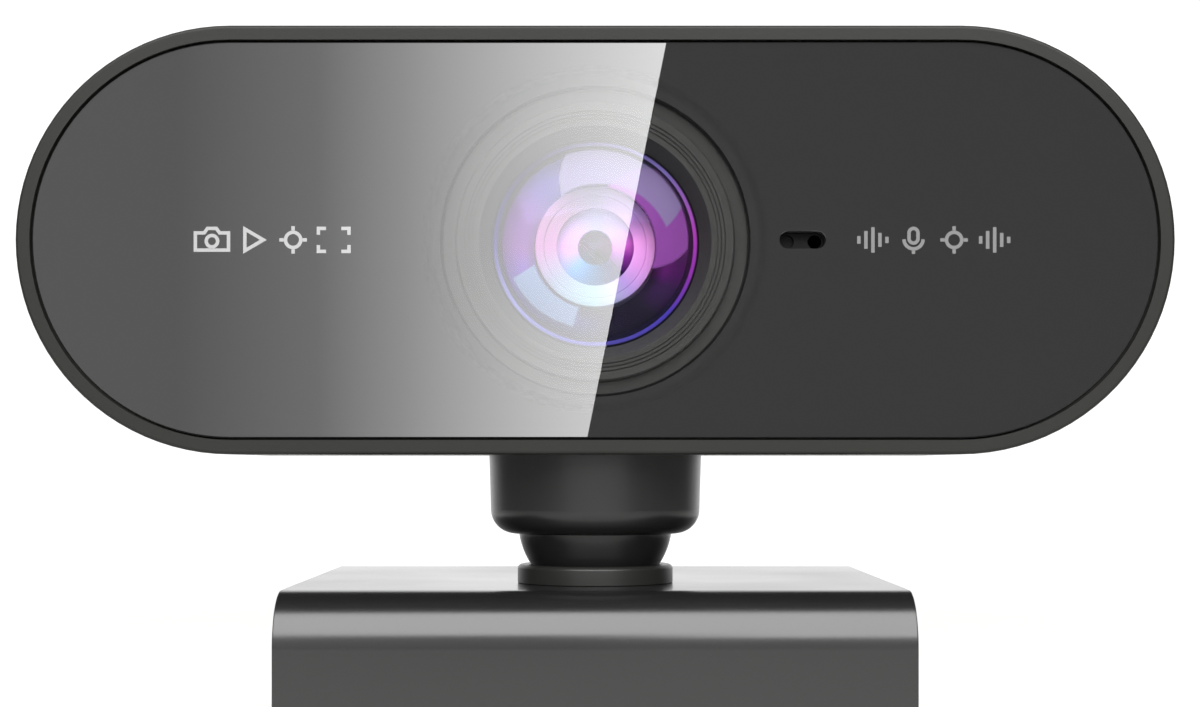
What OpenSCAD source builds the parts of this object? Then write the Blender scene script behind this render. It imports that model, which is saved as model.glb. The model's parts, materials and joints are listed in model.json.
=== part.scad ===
// Webcam head on a ball joint and swivel, standing on a folding monitor clip.
// X runs across the head, -Y is the front, Z is up. The origin is on the ground,
// midway between the clip's front face and the rear leg's foot.

/* [Head] */
// Overall width of the head
head_w = 100; // [88:1:130]
// Overall height of the head, whose ends are full half circles
head_h = 37; // [35:0.5:48]
// Overall depth of the head, front rim to back
head_d = 25; // [24.5:0.5:34]
// Thickness of the wall that shows as the front rim
rim_t = 1.25; // [1:0.05:1.6]
// Thickness of the shell wall behind the rim
shell_t = 1.8; // [1.4:0.1:2.4]
// Rounding of the rim's outer front edge
rim_edge_r = 0.3; // [0.1:0.05:0.6]
// Depth of the rear cover
rear_d = 5; // [4.5:0.5:7]
// Thickness of the rear cover's wall
rear_t = 1.6; // [1.2:0.1:2.2]
// Rounding of the rear cover's back edge
rear_edge_r = 3.5; // [2:0.25:4]
// Thickness of the bulkhead that carries the optics and the circuit board
bulkhead_t = 1.2; // [1:0.1:2]

/* [Front window] */
// Depth of the window's face behind the rim
window_recess = 0.2; // [0.1:0.05:0.5]
// Thickness of the clear window
window_t = 1; // [0.8:0.1:1.5]
// Gap all round the window
window_gap = 0.15; // [0.1:0.05:0.3]
// Thickness of the dark mask bonded behind the window
mask_t = 1.6; // [1.4:0.1:2.2]

/* [Lens surround] */
// Radius of the round hole in the mask
mask_hole_r = 13.5; // [12.9:0.1:14.5]
// Radius of the raised ring
ring_r = 12.1; // [11.8:0.05:12.4]
// Height of the raised ring above the flat band round it
ring_rise = 0.65; // [0.3:0.05:0.7]
// Depth of the flat band behind the window's back
band_depth = 0.8; // [0.7:0.05:1]
// Radius of the opening in the raised ring
bowl_r = 10; // [9.8:0.05:10.2]
// Radius at which the bowl meets the glass
bowl_floor_r = 9.15; // [8.8:0.05:9.4]
// Depth of the bowl
bowl_d = 2.2; // [1.8:0.1:2.6]
// Radii of the fine grooves in the raised ring
groove_radii = [10.65, 10.97, 11.3];
// Width of each fine groove
groove_w = 0.12; // [0.08:0.02:0.2]
// Depth of each fine groove
groove_d = 0.12; // [0.08:0.02:0.2]

/* [Optics] */
// Radius of the cover dome's edge
dome_r = 9.7; // [9.5:0.05:9.8]
// Radius of curvature of the cover dome
dome_curve_r = 24; // [20:0.5:40]
// Thickness of the cover dome
dome_t = 1; // [0.7:0.1:1.2]
// Radius of the lens barrel's head
barrel_head_r = 5.35; // [5:0.05:5.6]
// Radius of the lens barrel's thread
barrel_thread_r = 6; // [6:0.5:6.5]
// Depth of the barrel's front face behind the head's front
barrel_front = 5.6; // [5.4:0.1:6]
// Length of the lens barrel
barrel_len = 7.6; // [7.4:0.1:7.8]
// Radius of clear glass inside the retaining ring
pupil_ring_r = 3.45; // [3:0.05:3.6]
// Radius of the aperture
stop_r = 1.55; // [0.8:0.05:2]

/* [Circuit board] */
// Width of the board
board_w = 58; // [56:1:62]
// Height of the board
board_h = 26; // [25:0.5:27]
// Thickness of the board
board_t = 1.2; // [0.8:0.1:1.6]
// Depth of the board's front face behind the head's front
board_front = 16; // [15.8:0.1:16.4]

/* [Indicator] */
// Gap between the hole for the lens surround and the slot
slot_gap = 2.4; // [2:0.1:4.5]
// Length of the slot
slot_l = 4; // [3.6:0.1:4.4]
// Height of the slot
slot_h = 1.5; // [1.4:0.1:1.8]
// Distance between the slot's two holes
slot_pitch = 2.4; // [2.2:0.1:2.4]
// Radius of the two holes
port_r = 0.6; // [0.5:0.02:0.65]

/* [Cable entry] */
// Radius of the hole for the lead
lead_r = 1.9; // [1.5:0.1:2.2]
// Height of the entry above the head's centre
entry_z = -9; // [-10:0.5:-8]

/* [Ball joint] */
// Radius of the ball
ball_r = 7.1; // [6.6:0.1:7.2]
// Height of the ball's centre above the clip
ball_rise = 5.6; // [5.3:0.05:6.5]
// How far the socket reaches up into the head
socket_sink = 2; // [1.6:0.1:2.2]
// Thickness of the socket liner
liner_t = 0.9; // [0.7:0.05:1]
// Running clearance between ball, liner and socket
joint_gap = 0.06; // [0.04:0.01:0.1]
// Running clearance between the ball and the cup's retaining lip
lip_gap = 0.04; // [0.02:0.01:0.05]
// Thickness of the socket cup's wall
cup_wall = 1.5; // [1.2:0.05:2]
// How much wider the cup is where it meets the head
cup_flare = 0.15; // [0:0.05:0.4]
// Rounding of the cup's lower edge
cup_edge_r = 2.2; // [1:0.1:2.4]
// Distance of the cup's lower edge below the ball's centre
cup_drop = 1.05; // [0.9:0.05:1.3]
// Radius of the swivel disc
disc_r = 7.15; // [6.8:0.05:7.5]
// Thickness of the swivel disc
disc_t = 1.7; // [1.4:0.1:2]
// Radius of the swivel shaft
shaft_r = 3; // [2.6:0.1:3.4]
// Running clearance round the swivel shaft
shaft_gap = 0.06; // [0.03:0.01:0.1]

/* [Clip] */
// Width of the clip
clip_w = 54.5; // [50:0.5:66]
// Depth of the clip's top plate
clip_d = 46; // [44:1:54]
// Height of the clip's front jaw, ground to top face
jaw_h = 21; // [19:0.5:26]
// Thickness of the front jaw
jaw_t = 2.6; // [2.2:0.1:3.2]
// Thickness of the top plate, shell and inner cover together
top_t = 7; // [6.8:0.1:8]
// Outer radius of the bend between top plate and jaw
bend_r = 4.8; // [3.5:0.1:5]
// Thickness of the clip shell's walls
clip_wall = 1.8; // [1.4:0.1:2.2]
// Distance of the swivel axis behind the clip's front face
swivel_y = 16.5; // [14:0.5:18]
// Distance of the tripod thread ahead of the rear leg's hinge
tripod_from_hinge = 12; // [11:0.5:14]
// Radius of the tripod thread's bore
tripod_r = 2.6; // [2.5:0.05:3.2]
// Thickness of the inner cover
cover_t = 1.4; // [1.2:0.1:1.6]
// Thickness of the rubber pads
pad_t = 0.8; // [0.6:0.1:1]

/* [Rear leg] */
// Distance from the hinge axis to the foot's centre
leg_len = 32; // [28:0.5:32]
// Thickness of the leg
leg_t = 3.2; // [2.8:0.1:3.4]
// Width of the leg
leg_w = 51; // [46:1:53]
// Radius of the rubber foot
foot_r = 2.4; // [2:0.1:2.5]
// Outer radius of the hinge knuckles
knuckle_r = 2.6; // [2.3:0.1:2.8]
// Radius of the hinge pin
pin_r = 1.25; // [1:0.05:1.4]
// Running clearance round the hinge pin
pin_gap = 0.05; // [0.03:0.01:0.08]
// Width of each of the clip's two hinge ears
ear_w = 7; // [5:0.5:8]
// Thickness of each friction washer
washer_t = 0.5; // [0.4:0.05:0.7]
// Length of the rubber boot on the leg's end
boot_l = 8; // [6:0.5:10]

/* [Screws] */
// Rear cover screws: head radius, head thickness, shank radius
cover_screw = [1.9, 1.3, 0.95];
// Circuit board screws: head radius, head thickness, shank radius
board_screw = [1.8, 1.1, 0.73];
// Lens holder screws: head radius, head thickness, shank radius
holder_screw = [1.3, 0.8, 0.58];
// Swivel screw: head radius, head thickness, shank radius
axle_screw = [2.4, 1, 1.03];
// Inner cover screws: head radius, head thickness, shank radius
inner_screw = [1.65, 0.8, 0.73];
// Length that a screw takes hold over in its post
screw_grip = 5; // [4:0.5:6]

/* [Hidden] */
$fn = 96;
eps = 0.01;
seat_gap = 0.1; // clearance of a piece that drops into a pocket
slip_gap = 0.02; // clearance of a piece that is pushed or glued into its hole

// Ball joint
liner_in = ball_r + joint_gap;
liner_out = liner_in + liner_t;
socket_r = liner_out + joint_gap;
neck_h = socket_r - socket_sink; // height of the head's underside above the ball
cup_low_r = socket_r + cup_wall;
cup_h = neck_h + cup_drop;
lip_top = -0.5; // height where the retaining lip gives way to the liner's space
liner_low = 1.4;
cap_low = 2.6;
cap_wall = 0.9;
cap_boss_r = sqrt(pow(socket_r, 2) - pow(neck_h, 2)) + cap_wall;
cap_top = socket_r + 1.2;
nut_t = 2;
nut_r = cap_boss_r + 2;
nut_room = 0.4; // clearance round the nut inside the rear cover's lip
ball_flat = ball_rise - disc_t; // distance of the ball's flat below its centre

// Ground plan and heights
pad_gap = 0.3; // between the folded leg and the top pad
hinge_z = jaw_h - top_t - pad_gap - pad_t - leg_t / 2;
leg_angle = asin((hinge_z - foot_r) / leg_len);
hinge_from_front = clip_d - knuckle_r - 0.4;
total_d = hinge_from_front + leg_len * cos(leg_angle) + foot_r;
clip_y = -total_d / 2; // front face of the clip
axis_y = clip_y + swivel_y; // swivel and ball axis
hinge_y = clip_y + hinge_from_front;
ball_z = jaw_h + ball_rise;
head_z = ball_z + neck_h + head_h / 2;
head_y = axis_y - head_d / 2; // front face of the head

// Depths inside the head, measured back from its front face
end_r = head_h / 2;
spine = (head_w - head_h) / 2;
window_back = window_recess + window_t;
mask_back = window_back + mask_t;
bulkhead_back = mask_back + bulkhead_t;
shell_back = head_d - rear_d;
pocket_r = end_r - rim_t;
cavity_r = end_r - shell_t;
lap_t = 0.8; // thickness of the rear cover's lip inside the front shell
lap_l = 1.5; // length of that lip
lap_r = cavity_r - seat_gap;
rear_inside = head_d - rear_t;

// Lens surround
band_y = window_back + band_depth;
ring_y = band_y - ring_rise;
surround_r = mask_hole_r - 0.15;
dome_edge_r = dome_r + slip_gap;
tube_r = dome_r + 1.2; // outside of the surround's tube
edge_break = 0.12; // small bevel on the surround's edges
dome_seat_y = ring_y + bowl_d + 0.05;
dome_edge_back = dome_seat_y + dome_t;
dome_clear_r = bowl_floor_r - 0.1; // where the dome leaves its flat edge

// Lens barrel and holder
barrel_back = barrel_front + barrel_len;
barrel_head_l = 3.2;
baffle_back = barrel_front + 3;
element_r = 4.2;
middle_r = 3.6;
cell_front = barrel_front + 0.6; // front element's cell
cell_middle = barrel_front + 3.1; // stop and middle element's cell
cell_rear = barrel_front + 5.1; // rear element's cell
holder_front = 9.6;
holder_base_y = 13.6;
holder_half = 7.5;
holder_ear_r = 2.3;
holder_ear_t = 1.6;
holder_screw_x = 9.6;
filter_y = holder_base_y + 0.1;
sensor_t = 1.2;

// Circuit board
board_back = board_front + board_t;
board_corner = 2;
post_x = board_w / 2 - 3.5;
post_z = board_h / 2 - 3;
post_r = 2.2;

// Rear cover screws
cover_screw_x = head_w / 2 - 12;
cover_post_r = 3;
cover_seat_y = head_d - 2.6; // underside of the screw head
cover_joint_y = shell_back - 2.2; // end face of the shell's screw posts

// Indicator ports
slot_x = mask_hole_r + slot_gap + slot_l / 2;
slot_half = (slot_l - slot_h) / 2;
led_x = slot_x - slot_pitch / 2;
mic_x = slot_x + slot_pitch / 2;
insert_front = window_back + band_depth;
flange_t = 1;
insert_back = bulkhead_back + flange_t;
pipe_r = 1.15;
mic_r = 1.5;
mic_wall = 0.6;
mic_boot_r = mic_r + mic_wall;
mic_centre_x = led_x + pipe_r + mic_boot_r + 0.15;
mic_boot_back = insert_back + 3.2;
led_t = 1.2;

// Cable entry
entry_r = lead_r + 1.5; // hole in the rear cover
grommet_flange_r = lead_r + 2.5;
grommet_flange_t = 1.2;

// Clip
clip_bottom = jaw_h - top_t;
cavity_top = jaw_h - clip_wall;
rear_bar = 5.8; // solid bar at the back of the clip that carries the ears
cavity_front = jaw_t + 1;
cavity_back = clip_d - rear_bar;
cavity_half = clip_w / 2 - clip_wall;
bearing_t = 1.4;
bearing_r = shaft_r + 2.5;
bearing_bottom = cavity_top - bearing_t;
wave_t = 0.5;
thrust_t = 0.5;
thrust_bottom = bearing_bottom - wave_t - thrust_t;
shaft_bottom = bearing_bottom - wave_t + 0.05;
inner_post_r = 2.1;
inner_screw_places = [
    for (x = [-1, 1], y = [cavity_front + 3.4, cavity_back - 3.7])
        [x * (clip_w / 2 - 5), y]
];
tripod_y = hinge_from_front - tripod_from_hinge;
insert_r = tripod_r + 1.4;
insert_boss_r = insert_r + 1.6;
insert_h = 5;
pad_front = hinge_from_front - leg_len + foot_r + 0.8; // clear of the folded leg's foot

// Hinge
ear_outer = clip_w / 2 - 2;
ear_inner = ear_outer - ear_w;
ear_middle = (ear_outer + ear_inner) / 2;
barrel_half = ear_inner - washer_t - seat_gap;
leg_clear = knuckle_r + 1.4; // where the leg grows to its full width
tongue_inset = 3; // leg's tongue inside the rubber boot
tongue_t = leg_t - 1.6;
boot_gap = 0.05;

// ---------- placing ----------

module in_head() {
    translate([0, head_y, head_z]) children();
}

module at_ball() {
    translate([0, axis_y, ball_z]) children();
}

module in_clip() {
    translate([0, clip_y, 0]) children();
}

module at_hinge() {
    translate([0, hinge_y, hinge_z]) children();
}

// Turns a shape made along Z so that it runs back along Y
module along_y() {
    rotate([-90, 0, 0]) children();
}

// ---------- shared shapes ----------

// Sweeps a profile of (distance from the spine, depth) round a stadium
module stadium_sweep(half) {
    along_y() {
        for (side = [-1, 1])
            translate([side * half, 0, 0])
                rotate([0, 0, side * 90 - 90])
                    rotate([0, 0, -90])
                        rotate_extrude(angle = 180)
                            children();
    }
    rotate([0, 90, 0])
        linear_extrude(height = 2 * half, center = true) {
            children();
            mirror([1, 0]) children();
        }
}

// A plain stadium plate between two depths
module stadium_plate(half, r, y0, y1) {
    stadium_sweep(half) translate([0, y0]) square([r, y1 - y0]);
}

// A stadium plate whose outer edge is rounded at its front or its back
module rounded_plate(half, r, y0, y1, edge, back = false) {
    stadium_sweep(half)
        translate([0, back ? y1 : y0])
            mirror([0, back ? 1 : 0])
                union() {
                    square([r - edge, y1 - y0]);
                    translate([0, edge]) square([r, y1 - y0 - edge]);
                    intersection() {
                        translate([r - edge, edge]) circle(r = edge);
                        translate([r - edge, 0]) square([edge, edge]);
                    }
                }
}

module rod_y(r, y0, y1) {
    translate([0, y0, 0]) along_y() cylinder(r = r, h = y1 - y0);
}

module tube_y(r_out, r_in, y0, y1) {
    difference() {
        rod_y(r_out, y0, y1);
        rod_y(r_in, y0 - 1, y1 + 1);
    }
}

module rod_z(r, z0, z1) {
    translate([0, 0, z0]) cylinder(r = r, h = z1 - z0);
}

module tube_z(r_out, r_in, z0, z1) {
    difference() {
        rod_z(r_out, z0, z1);
        rod_z(r_in, z0 - 1, z1 + 1);
    }
}

module rod_x(r, half) {
    rotate([0, 90, 0]) cylinder(r = r, h = 2 * half, center = true);
}

module box_from(low, high) {
    translate(low) cube(high - low);
}

// Cross-head screw along Z, its head standing on z = 0 and its shank below
module screw(size, shank_l) {
    head_r = size[0];
    head_t = size[1];
    slot_w = head_r * 0.36;
    slot_half_l = head_r * 0.7;
    difference() {
        union() {
            cylinder(r = head_r, h = head_t);
            translate([0, 0, -shank_l]) cylinder(r = size[2], h = shank_l + eps);
        }
        for (turn = [0, 90])
            rotate([0, 0, turn])
                translate([-slot_half_l, -slot_w / 2, head_t * 0.45])
                    cube([slot_half_l * 2, slot_w, head_t]);
    }
}

// The same screw, driven forwards from the back
module screw_from_back(size, shank_l) {
    rotate([-90, 0, 0]) screw(size, shank_l);
}

// Repeats a piece at the four board posts, the two cover posts or the two holder ears
module at_board_posts() {
    for (x = [-1, 1], z = [-1, 1]) translate([x * post_x, 0, z * post_z]) children();
}

module at_cover_posts() {
    for (x = [-1, 1]) translate([x * cover_screw_x, 0, 0]) children();
}

module at_holder_ears() {
    for (x = [-1, 1]) translate([x * holder_screw_x, 0, 0]) children();
}

module at_inner_screws() {
    for (place = inner_screw_places) translate([place[0], place[1], 0]) children();
}

// ---------- head shells ----------

module front_shell() {
    color([0.28, 0.28, 0.27]) in_head() difference() {
        union() {
            difference() {
                rounded_plate(spine, end_r, 0, shell_back, rim_edge_r);
                stadium_plate(spine, pocket_r, -1, mask_back);
                stadium_plate(spine, cavity_r, bulkhead_back, shell_back + 1);
            }
            at_board_posts() rod_y(post_r, bulkhead_back - eps, board_front);
            at_cover_posts() rod_y(cover_post_r, bulkhead_back - eps, cover_joint_y);
        }
        // hole for the lens surround's tube
        rod_y(tube_r + seat_gap, -1, bulkhead_back + 1);
        // hole for the indicator insert
        translate([slot_x, 0, 0]) stadium_plate(slot_half, slot_h / 2, -1, bulkhead_back + 1);
        at_board_posts()
            rod_y(board_screw[2] + slip_gap, board_front - screw_grip - 1, board_front + 1);
        at_cover_posts()
            rod_y(cover_screw[2] + slip_gap, cover_joint_y - screw_grip - 1, cover_joint_y + 1);
        // hole for the socket cap's boss
        translate([0, head_d / 2, 0])
            rod_z(cap_boss_r + seat_gap, -end_r - 1, -end_r + shell_t + 1);
    }
}

module rear_cover() {
    color([0.27, 0.27, 0.26]) in_head() difference() {
        union() {
            difference() {
                rounded_plate(spine, end_r, shell_back, head_d, rear_edge_r, back = true);
                rounded_plate(
                    spine, end_r - rear_t, shell_back - 1, rear_inside,
                    rear_edge_r - rear_t, back = true
                );
            }
            // lip that locates the cover inside the front shell, and the step it stands on
            difference() {
                union() {
                    stadium_plate(spine, lap_r, shell_back - lap_l, shell_back + eps);
                    stadium_plate(spine, end_r - rear_t + eps, shell_back, shell_back + 1);
                }
                stadium_plate(spine, lap_r - lap_t, shell_back - lap_l - 1, shell_back + 2);
            }
            at_cover_posts() rod_y(cover_post_r, cover_joint_y + 0.05, rear_inside + eps);
        }
        at_cover_posts() {
            rod_y(cover_screw[2] + 0.25, cover_joint_y - 1, head_d + 1);
            rod_y(cover_screw[0] + 0.3, cover_seat_y, head_d + 1);
        }
        translate([0, 0, entry_z]) rod_y(entry_r, shell_back, head_d + 1);
        // room for the neck nut inside the lip
        translate([0, head_d / 2, -end_r + shell_t])
            rod_z(nut_r + nut_room, -eps, nut_t + 1);
    }
}

module cover_screws() {
    color("dimgray") in_head() at_cover_posts()
        translate([0, cover_seat_y, 0])
            screw_from_back(cover_screw, cover_seat_y - cover_joint_y + screw_grip);
}

module cable_grommet() {
    inner_back = rear_inside - grommet_flange_t;
    outer_back = head_d + grommet_flange_t;
    color([0.1, 0.1, 0.1]) in_head() translate([0, 0, entry_z]) difference() {
        union() {
            rod_y(entry_r - slip_gap, inner_back, outer_back);
            rod_y(grommet_flange_r, inner_back, rear_inside);
            rod_y(grommet_flange_r, head_d, outer_back);
        }
        rod_y(lead_r, inner_back - 1, outer_back + 1);
    }
}

// ---------- front window and indicator ----------

module front_window() {
    color([0.75, 0.78, 0.8, 0.3]) in_head() difference() {
        stadium_plate(spine, pocket_r - window_gap, window_recess, window_back);
        translate([slot_x, 0, 0]) stadium_plate(slot_half, slot_h / 2, -1, window_back + 1);
    }
}

module window_mask() {
    color([0.23, 0.23, 0.23]) in_head() difference() {
        stadium_plate(spine, pocket_r - window_gap, window_back, mask_back);
        rod_y(mask_hole_r, window_back - 1, mask_back + 1);
        translate([slot_x, 0, 0]) stadium_plate(slot_half, slot_h / 2, 0, mask_back + 1);
    }
}

module indicator_insert() {
    color([0.16, 0.16, 0.16]) in_head() translate([slot_x, 0, 0]) difference() {
        union() {
            stadium_plate(slot_half, slot_h / 2 - 2 * slip_gap, insert_front, bulkhead_back);
            stadium_plate(slot_half, slot_h / 2 + 1.2, bulkhead_back, insert_back);
        }
        for (x = [-1, 1])
            translate([x * slot_pitch / 2, 0, 0])
                rod_y(port_r, insert_front - 1, insert_back + 1);
    }
}

module light_pipe() {
    color([0.8, 0.85, 0.9, 0.5]) in_head() translate([led_x, 0, 0]) {
        rod_y(port_r - slip_gap, insert_front + 0.5, insert_back + eps);
        rod_y(pipe_r, insert_back, board_front - led_t - 0.2);
    }
}

module status_led() {
    color([0.9, 0.9, 0.8]) in_head() translate([led_x, 0, 0])
        box_from([-1.6, board_front - led_t, -0.8], [1.6, board_front, 0.8]);
}

module mic_boot() {
    color([0.07, 0.07, 0.07]) in_head() translate([mic_centre_x, 0, 0]) difference() {
        rod_y(mic_boot_r, insert_back, mic_boot_back);
        rod_y(mic_r, insert_back + mic_wall, mic_boot_back + 1);
        translate([mic_x - mic_centre_x, 0, 0]) rod_y(port_r, insert_back - 1, insert_back + 1);
    }
}

module mic_capsule() {
    color([0.75, 0.75, 0.78]) in_head() translate([mic_centre_x, 0, 0])
        rod_y(mic_r - slip_gap, insert_back + mic_wall, mic_boot_back);
}

module mic_leads() {
    color("silver") in_head()
        for (x = [-0.7, 0.7])
            translate([mic_centre_x + x, 0, 0]) rod_y(0.25, mic_boot_back, board_front);
}

// ---------- optics ----------

module lens_surround() {
    color([0.29, 0.29, 0.28]) in_head() along_y() difference() {
        rotate_extrude() polygon([
            [surround_r, mask_back],
            [surround_r, band_y + edge_break], [surround_r - edge_break, band_y],
            [ring_r + 0.1, band_y],
            [ring_r, ring_y + edge_break], [ring_r - edge_break, ring_y],
            [bowl_r + edge_break, ring_y + edge_break / 2], [bowl_r, ring_y + 2 * edge_break],
            [bowl_floor_r, ring_y + bowl_d], [bowl_floor_r, dome_seat_y],
            [dome_edge_r, dome_seat_y], [dome_edge_r, baffle_back],
            [tube_r, baffle_back], [tube_r, mask_back],
        ]);
        for (r = groove_radii)
            translate([0, 0, ring_y - 1])
                difference() {
                    cylinder(r = r + groove_w / 2, h = 1 + groove_d + edge_break / 2);
                    translate([0, 0, -1]) cylinder(r = r - groove_w / 2, h = 4);
                }
    }
}

// A concentric meniscus standing on a flat edge
module cover_dome() {
    centre_y = dome_seat_y + sqrt(pow(dome_curve_r, 2) - pow(dome_clear_r, 2));
    color([0.6, 0.45, 0.8, 0.4]) in_head() along_y() rotate_extrude() union() {
        translate([dome_clear_r - 1, dome_seat_y]) square([dome_r - dome_clear_r + 1, dome_t]);
        intersection() {
            translate([0, centre_y]) difference() {
                circle(r = dome_curve_r, $fn = 360);
                circle(r = dome_curve_r - dome_t, $fn = 360);
            }
            translate([0, dome_seat_y - dome_curve_r / 4])
                square([dome_clear_r, dome_curve_r / 4 + dome_t]);
        }
    }
}

module light_baffle() {
    throat_r = barrel_head_r + 0.15;
    color([0.08, 0.08, 0.1]) in_head() along_y() rotate_extrude() polygon([
        [dome_r - slip_gap, dome_edge_back], [dome_r - slip_gap, baffle_back],
        [throat_r, baffle_back], [throat_r, baffle_back - 0.6],
        [dome_clear_r - 0.5, dome_edge_back],
    ]);
}

module lens_barrel() {
    color([0.1, 0.1, 0.11]) in_head() difference() {
        union() {
            rod_y(barrel_head_r, barrel_front, barrel_front + barrel_head_l + eps);
            rod_y(barrel_thread_r, barrel_front + barrel_head_l, barrel_back);
        }
        rod_y(pupil_ring_r + 1.1, barrel_front - 1, cell_front);
        rod_y(element_r, cell_front - eps, cell_middle);
        rod_y(middle_r, cell_middle - eps, cell_rear);
        rod_y(element_r, cell_rear - eps, barrel_back + 1);
    }
}

module retaining_ring() {
    color([0.2, 0.2, 0.22]) in_head()
        tube_y(pupil_ring_r + 1.1 - slip_gap, pupil_ring_r, barrel_front + 0.1, cell_front);
}

// A lens between two spherical faces, each given by how far it bulges
module lens_element(r, y0, y1, front_bulge, back_bulge) {
    front_curve = (pow(r, 2) + pow(front_bulge, 2)) / (2 * front_bulge);
    back_curve = (pow(r, 2) + pow(back_bulge, 2)) / (2 * back_bulge);
    along_y() rotate_extrude() intersection() {
        translate([0, y0 + front_curve]) circle(r = front_curve, $fn = 240);
        translate([0, y1 - back_curve]) circle(r = back_curve, $fn = 240);
        translate([0, y0]) square([r, y1 - y0]);
    }
}

module front_element() {
    color([0.5, 0.4, 0.8, 0.4]) in_head()
        lens_element(element_r - slip_gap, cell_front + 0.05, cell_middle - 0.4, 0.9, 0.4);
}

module aperture_stop() {
    color([0.03, 0.03, 0.03]) in_head()
        tube_y(middle_r - slip_gap, stop_r, cell_middle + 0.05, cell_middle + 0.25);
}

module middle_element() {
    color([0.4, 0.5, 0.8, 0.4]) in_head()
        lens_element(middle_r - slip_gap, cell_middle + 0.3, cell_rear - 0.2, 0.5, 0.5);
}

module rear_element() {
    color([0.4, 0.6, 0.8, 0.4]) in_head()
        lens_element(element_r - slip_gap, cell_rear + 0.15, barrel_back - 0.2, 0.4, 0.8);
}

module lens_holder() {
    ear_front = board_front - holder_ear_t;
    window_half = 4.8; // square well behind the barrel, round the sensor
    color([0.09, 0.09, 0.09]) in_head() difference() {
        union() {
            rod_y(barrel_thread_r + 1.4, holder_front, holder_base_y + eps);
            box_from(
                [-holder_half, holder_base_y, -holder_half],
                [holder_half, board_front, holder_half]
            );
            at_holder_ears() rod_y(holder_ear_r, ear_front, board_front);
            box_from(
                [-holder_screw_x, ear_front, -holder_ear_r],
                [holder_screw_x, board_front, holder_ear_r]
            );
        }
        rod_y(barrel_thread_r + slip_gap, holder_front - 1, holder_base_y);
        box_from(
            [-window_half, holder_base_y - eps, -window_half],
            [window_half, board_front + 1, window_half]
        );
        at_holder_ears()
            rod_y(holder_screw[2] + slip_gap, ear_front + 0.4, board_front + 1);
    }
}

module holder_screws() {
    color("silver") in_head() at_holder_ears()
        translate([0, board_back, 0]) screw_from_back(holder_screw, board_t + 1);
}

module ir_filter() {
    half = 4.7;
    color([0.6, 0.8, 0.85, 0.5]) in_head()
        box_from([-half, filter_y, -half], [half, filter_y + 0.5, half]);
}

module image_sensor() {
    half = 4;
    die_front = board_front - sensor_t - 0.1;
    color([0.2, 0.2, 0.3]) in_head() {
        box_from([-half, board_front - sensor_t, -half], [half, board_front, half]);
        box_from([-2.8, die_front, -2.1], [2.8, board_front - sensor_t + eps, 2.1]);
    }
}

// ---------- circuit board ----------

module main_board() {
    half_w = board_w / 2;
    half_h = board_h / 2;
    color([0.05, 0.3, 0.15]) in_head() difference() {
        union() {
            box_from(
                [-half_w + board_corner, board_front, -half_h],
                [half_w - board_corner, board_back, half_h]
            );
            box_from(
                [-half_w, board_front, -half_h + board_corner],
                [half_w, board_back, half_h - board_corner]
            );
            for (x = [-1, 1], z = [-1, 1])
                translate([x * (half_w - board_corner), 0, z * (half_h - board_corner)])
                    rod_y(board_corner, board_front, board_back);
        }
        at_board_posts() rod_y(board_screw[2] + 0.3, board_front - 1, board_back + 1);
        at_holder_ears() rod_y(holder_screw[2] + 0.1, board_front - 1, board_back + 1);
    }
}

module board_screws() {
    color("silver") in_head() at_board_posts()
        translate([0, board_back, 0]) screw_from_back(board_screw, board_t + screw_grip);
}

// A block on the back of the board, by its place, width, height and thickness
module on_board_back(x, z, w, h, t) {
    translate([x, board_back, z]) box_from([-w / 2, 0, -h / 2], [w / 2, t, h / 2]);
}

module controller_chip() {
    color([0.08, 0.08, 0.09]) in_head() on_board_back(-17, 1, 8, 8, 0.9);
}

module memory_chip() {
    color([0.08, 0.08, 0.09]) in_head() on_board_back(17, 4, 5, 4, 1.5);
}

module crystal() {
    color("silver") in_head() on_board_back(-17, -7, 3.2, 2.5, 0.8);
}

module board_connector() {
    color([0.9, 0.88, 0.8]) in_head() translate([0, board_back, -8.5]) difference() {
        box_from([-4.5, 0, -2], [4.5, 3.6, 2]);
        box_from([-3.9, 1, -1.4], [3.9, 5, 1.4]);
    }
}

module board_capacitors() {
    color([0.7, 0.6, 0.4]) in_head() {
        for (i = [0:4]) on_board_back(-21 + i * 3, 8.5, 0.9, 1.6, 0.8);
        for (i = [0:3]) on_board_back(12 + i * 3, -3, 1.6, 0.9, 0.8);
    }
}

// ---------- ball joint ----------

module socket_cup() {
    flat_r = cup_low_r - cup_edge_r;
    color([0.2, 0.2, 0.2]) at_ball() difference() {
        rotate_extrude() translate([0, -cup_drop]) union() {
            polygon([
                [0, cup_edge_r], [cup_low_r, cup_edge_r],
                [cup_low_r + cup_flare, cup_h], [0, cup_h],
            ]);
            square([flat_r, cup_edge_r + eps]);
            translate([flat_r, cup_edge_r]) intersection() {
                circle(r = cup_edge_r);
                translate([0, -cup_edge_r]) square([cup_edge_r, cup_edge_r + eps]);
            }
        }
        sphere(r = ball_r + lip_gap);
        intersection() {
            sphere(r = socket_r);
            rod_z(socket_r + 1, lip_top, socket_r + 1);
        }
        rod_z(socket_r, 0, neck_h + 1);
    }
}

module socket_cap() {
    color([0.15, 0.15, 0.15]) at_ball() difference() {
        union() {
            rod_z(socket_r - slip_gap, cap_low, neck_h - slip_gap);
            rod_z(cap_boss_r, neck_h - 1, cap_top);
        }
        sphere(r = socket_r + slip_gap);
    }
}

module neck_nut() {
    color([0.6, 0.6, 0.62]) at_ball() translate([0, 0, neck_h + shell_t]) difference() {
        cylinder(r = nut_r, h = nut_t, $fn = 6);
        rod_z(cap_boss_r + slip_gap, -1, nut_t + 1);
    }
}

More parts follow.
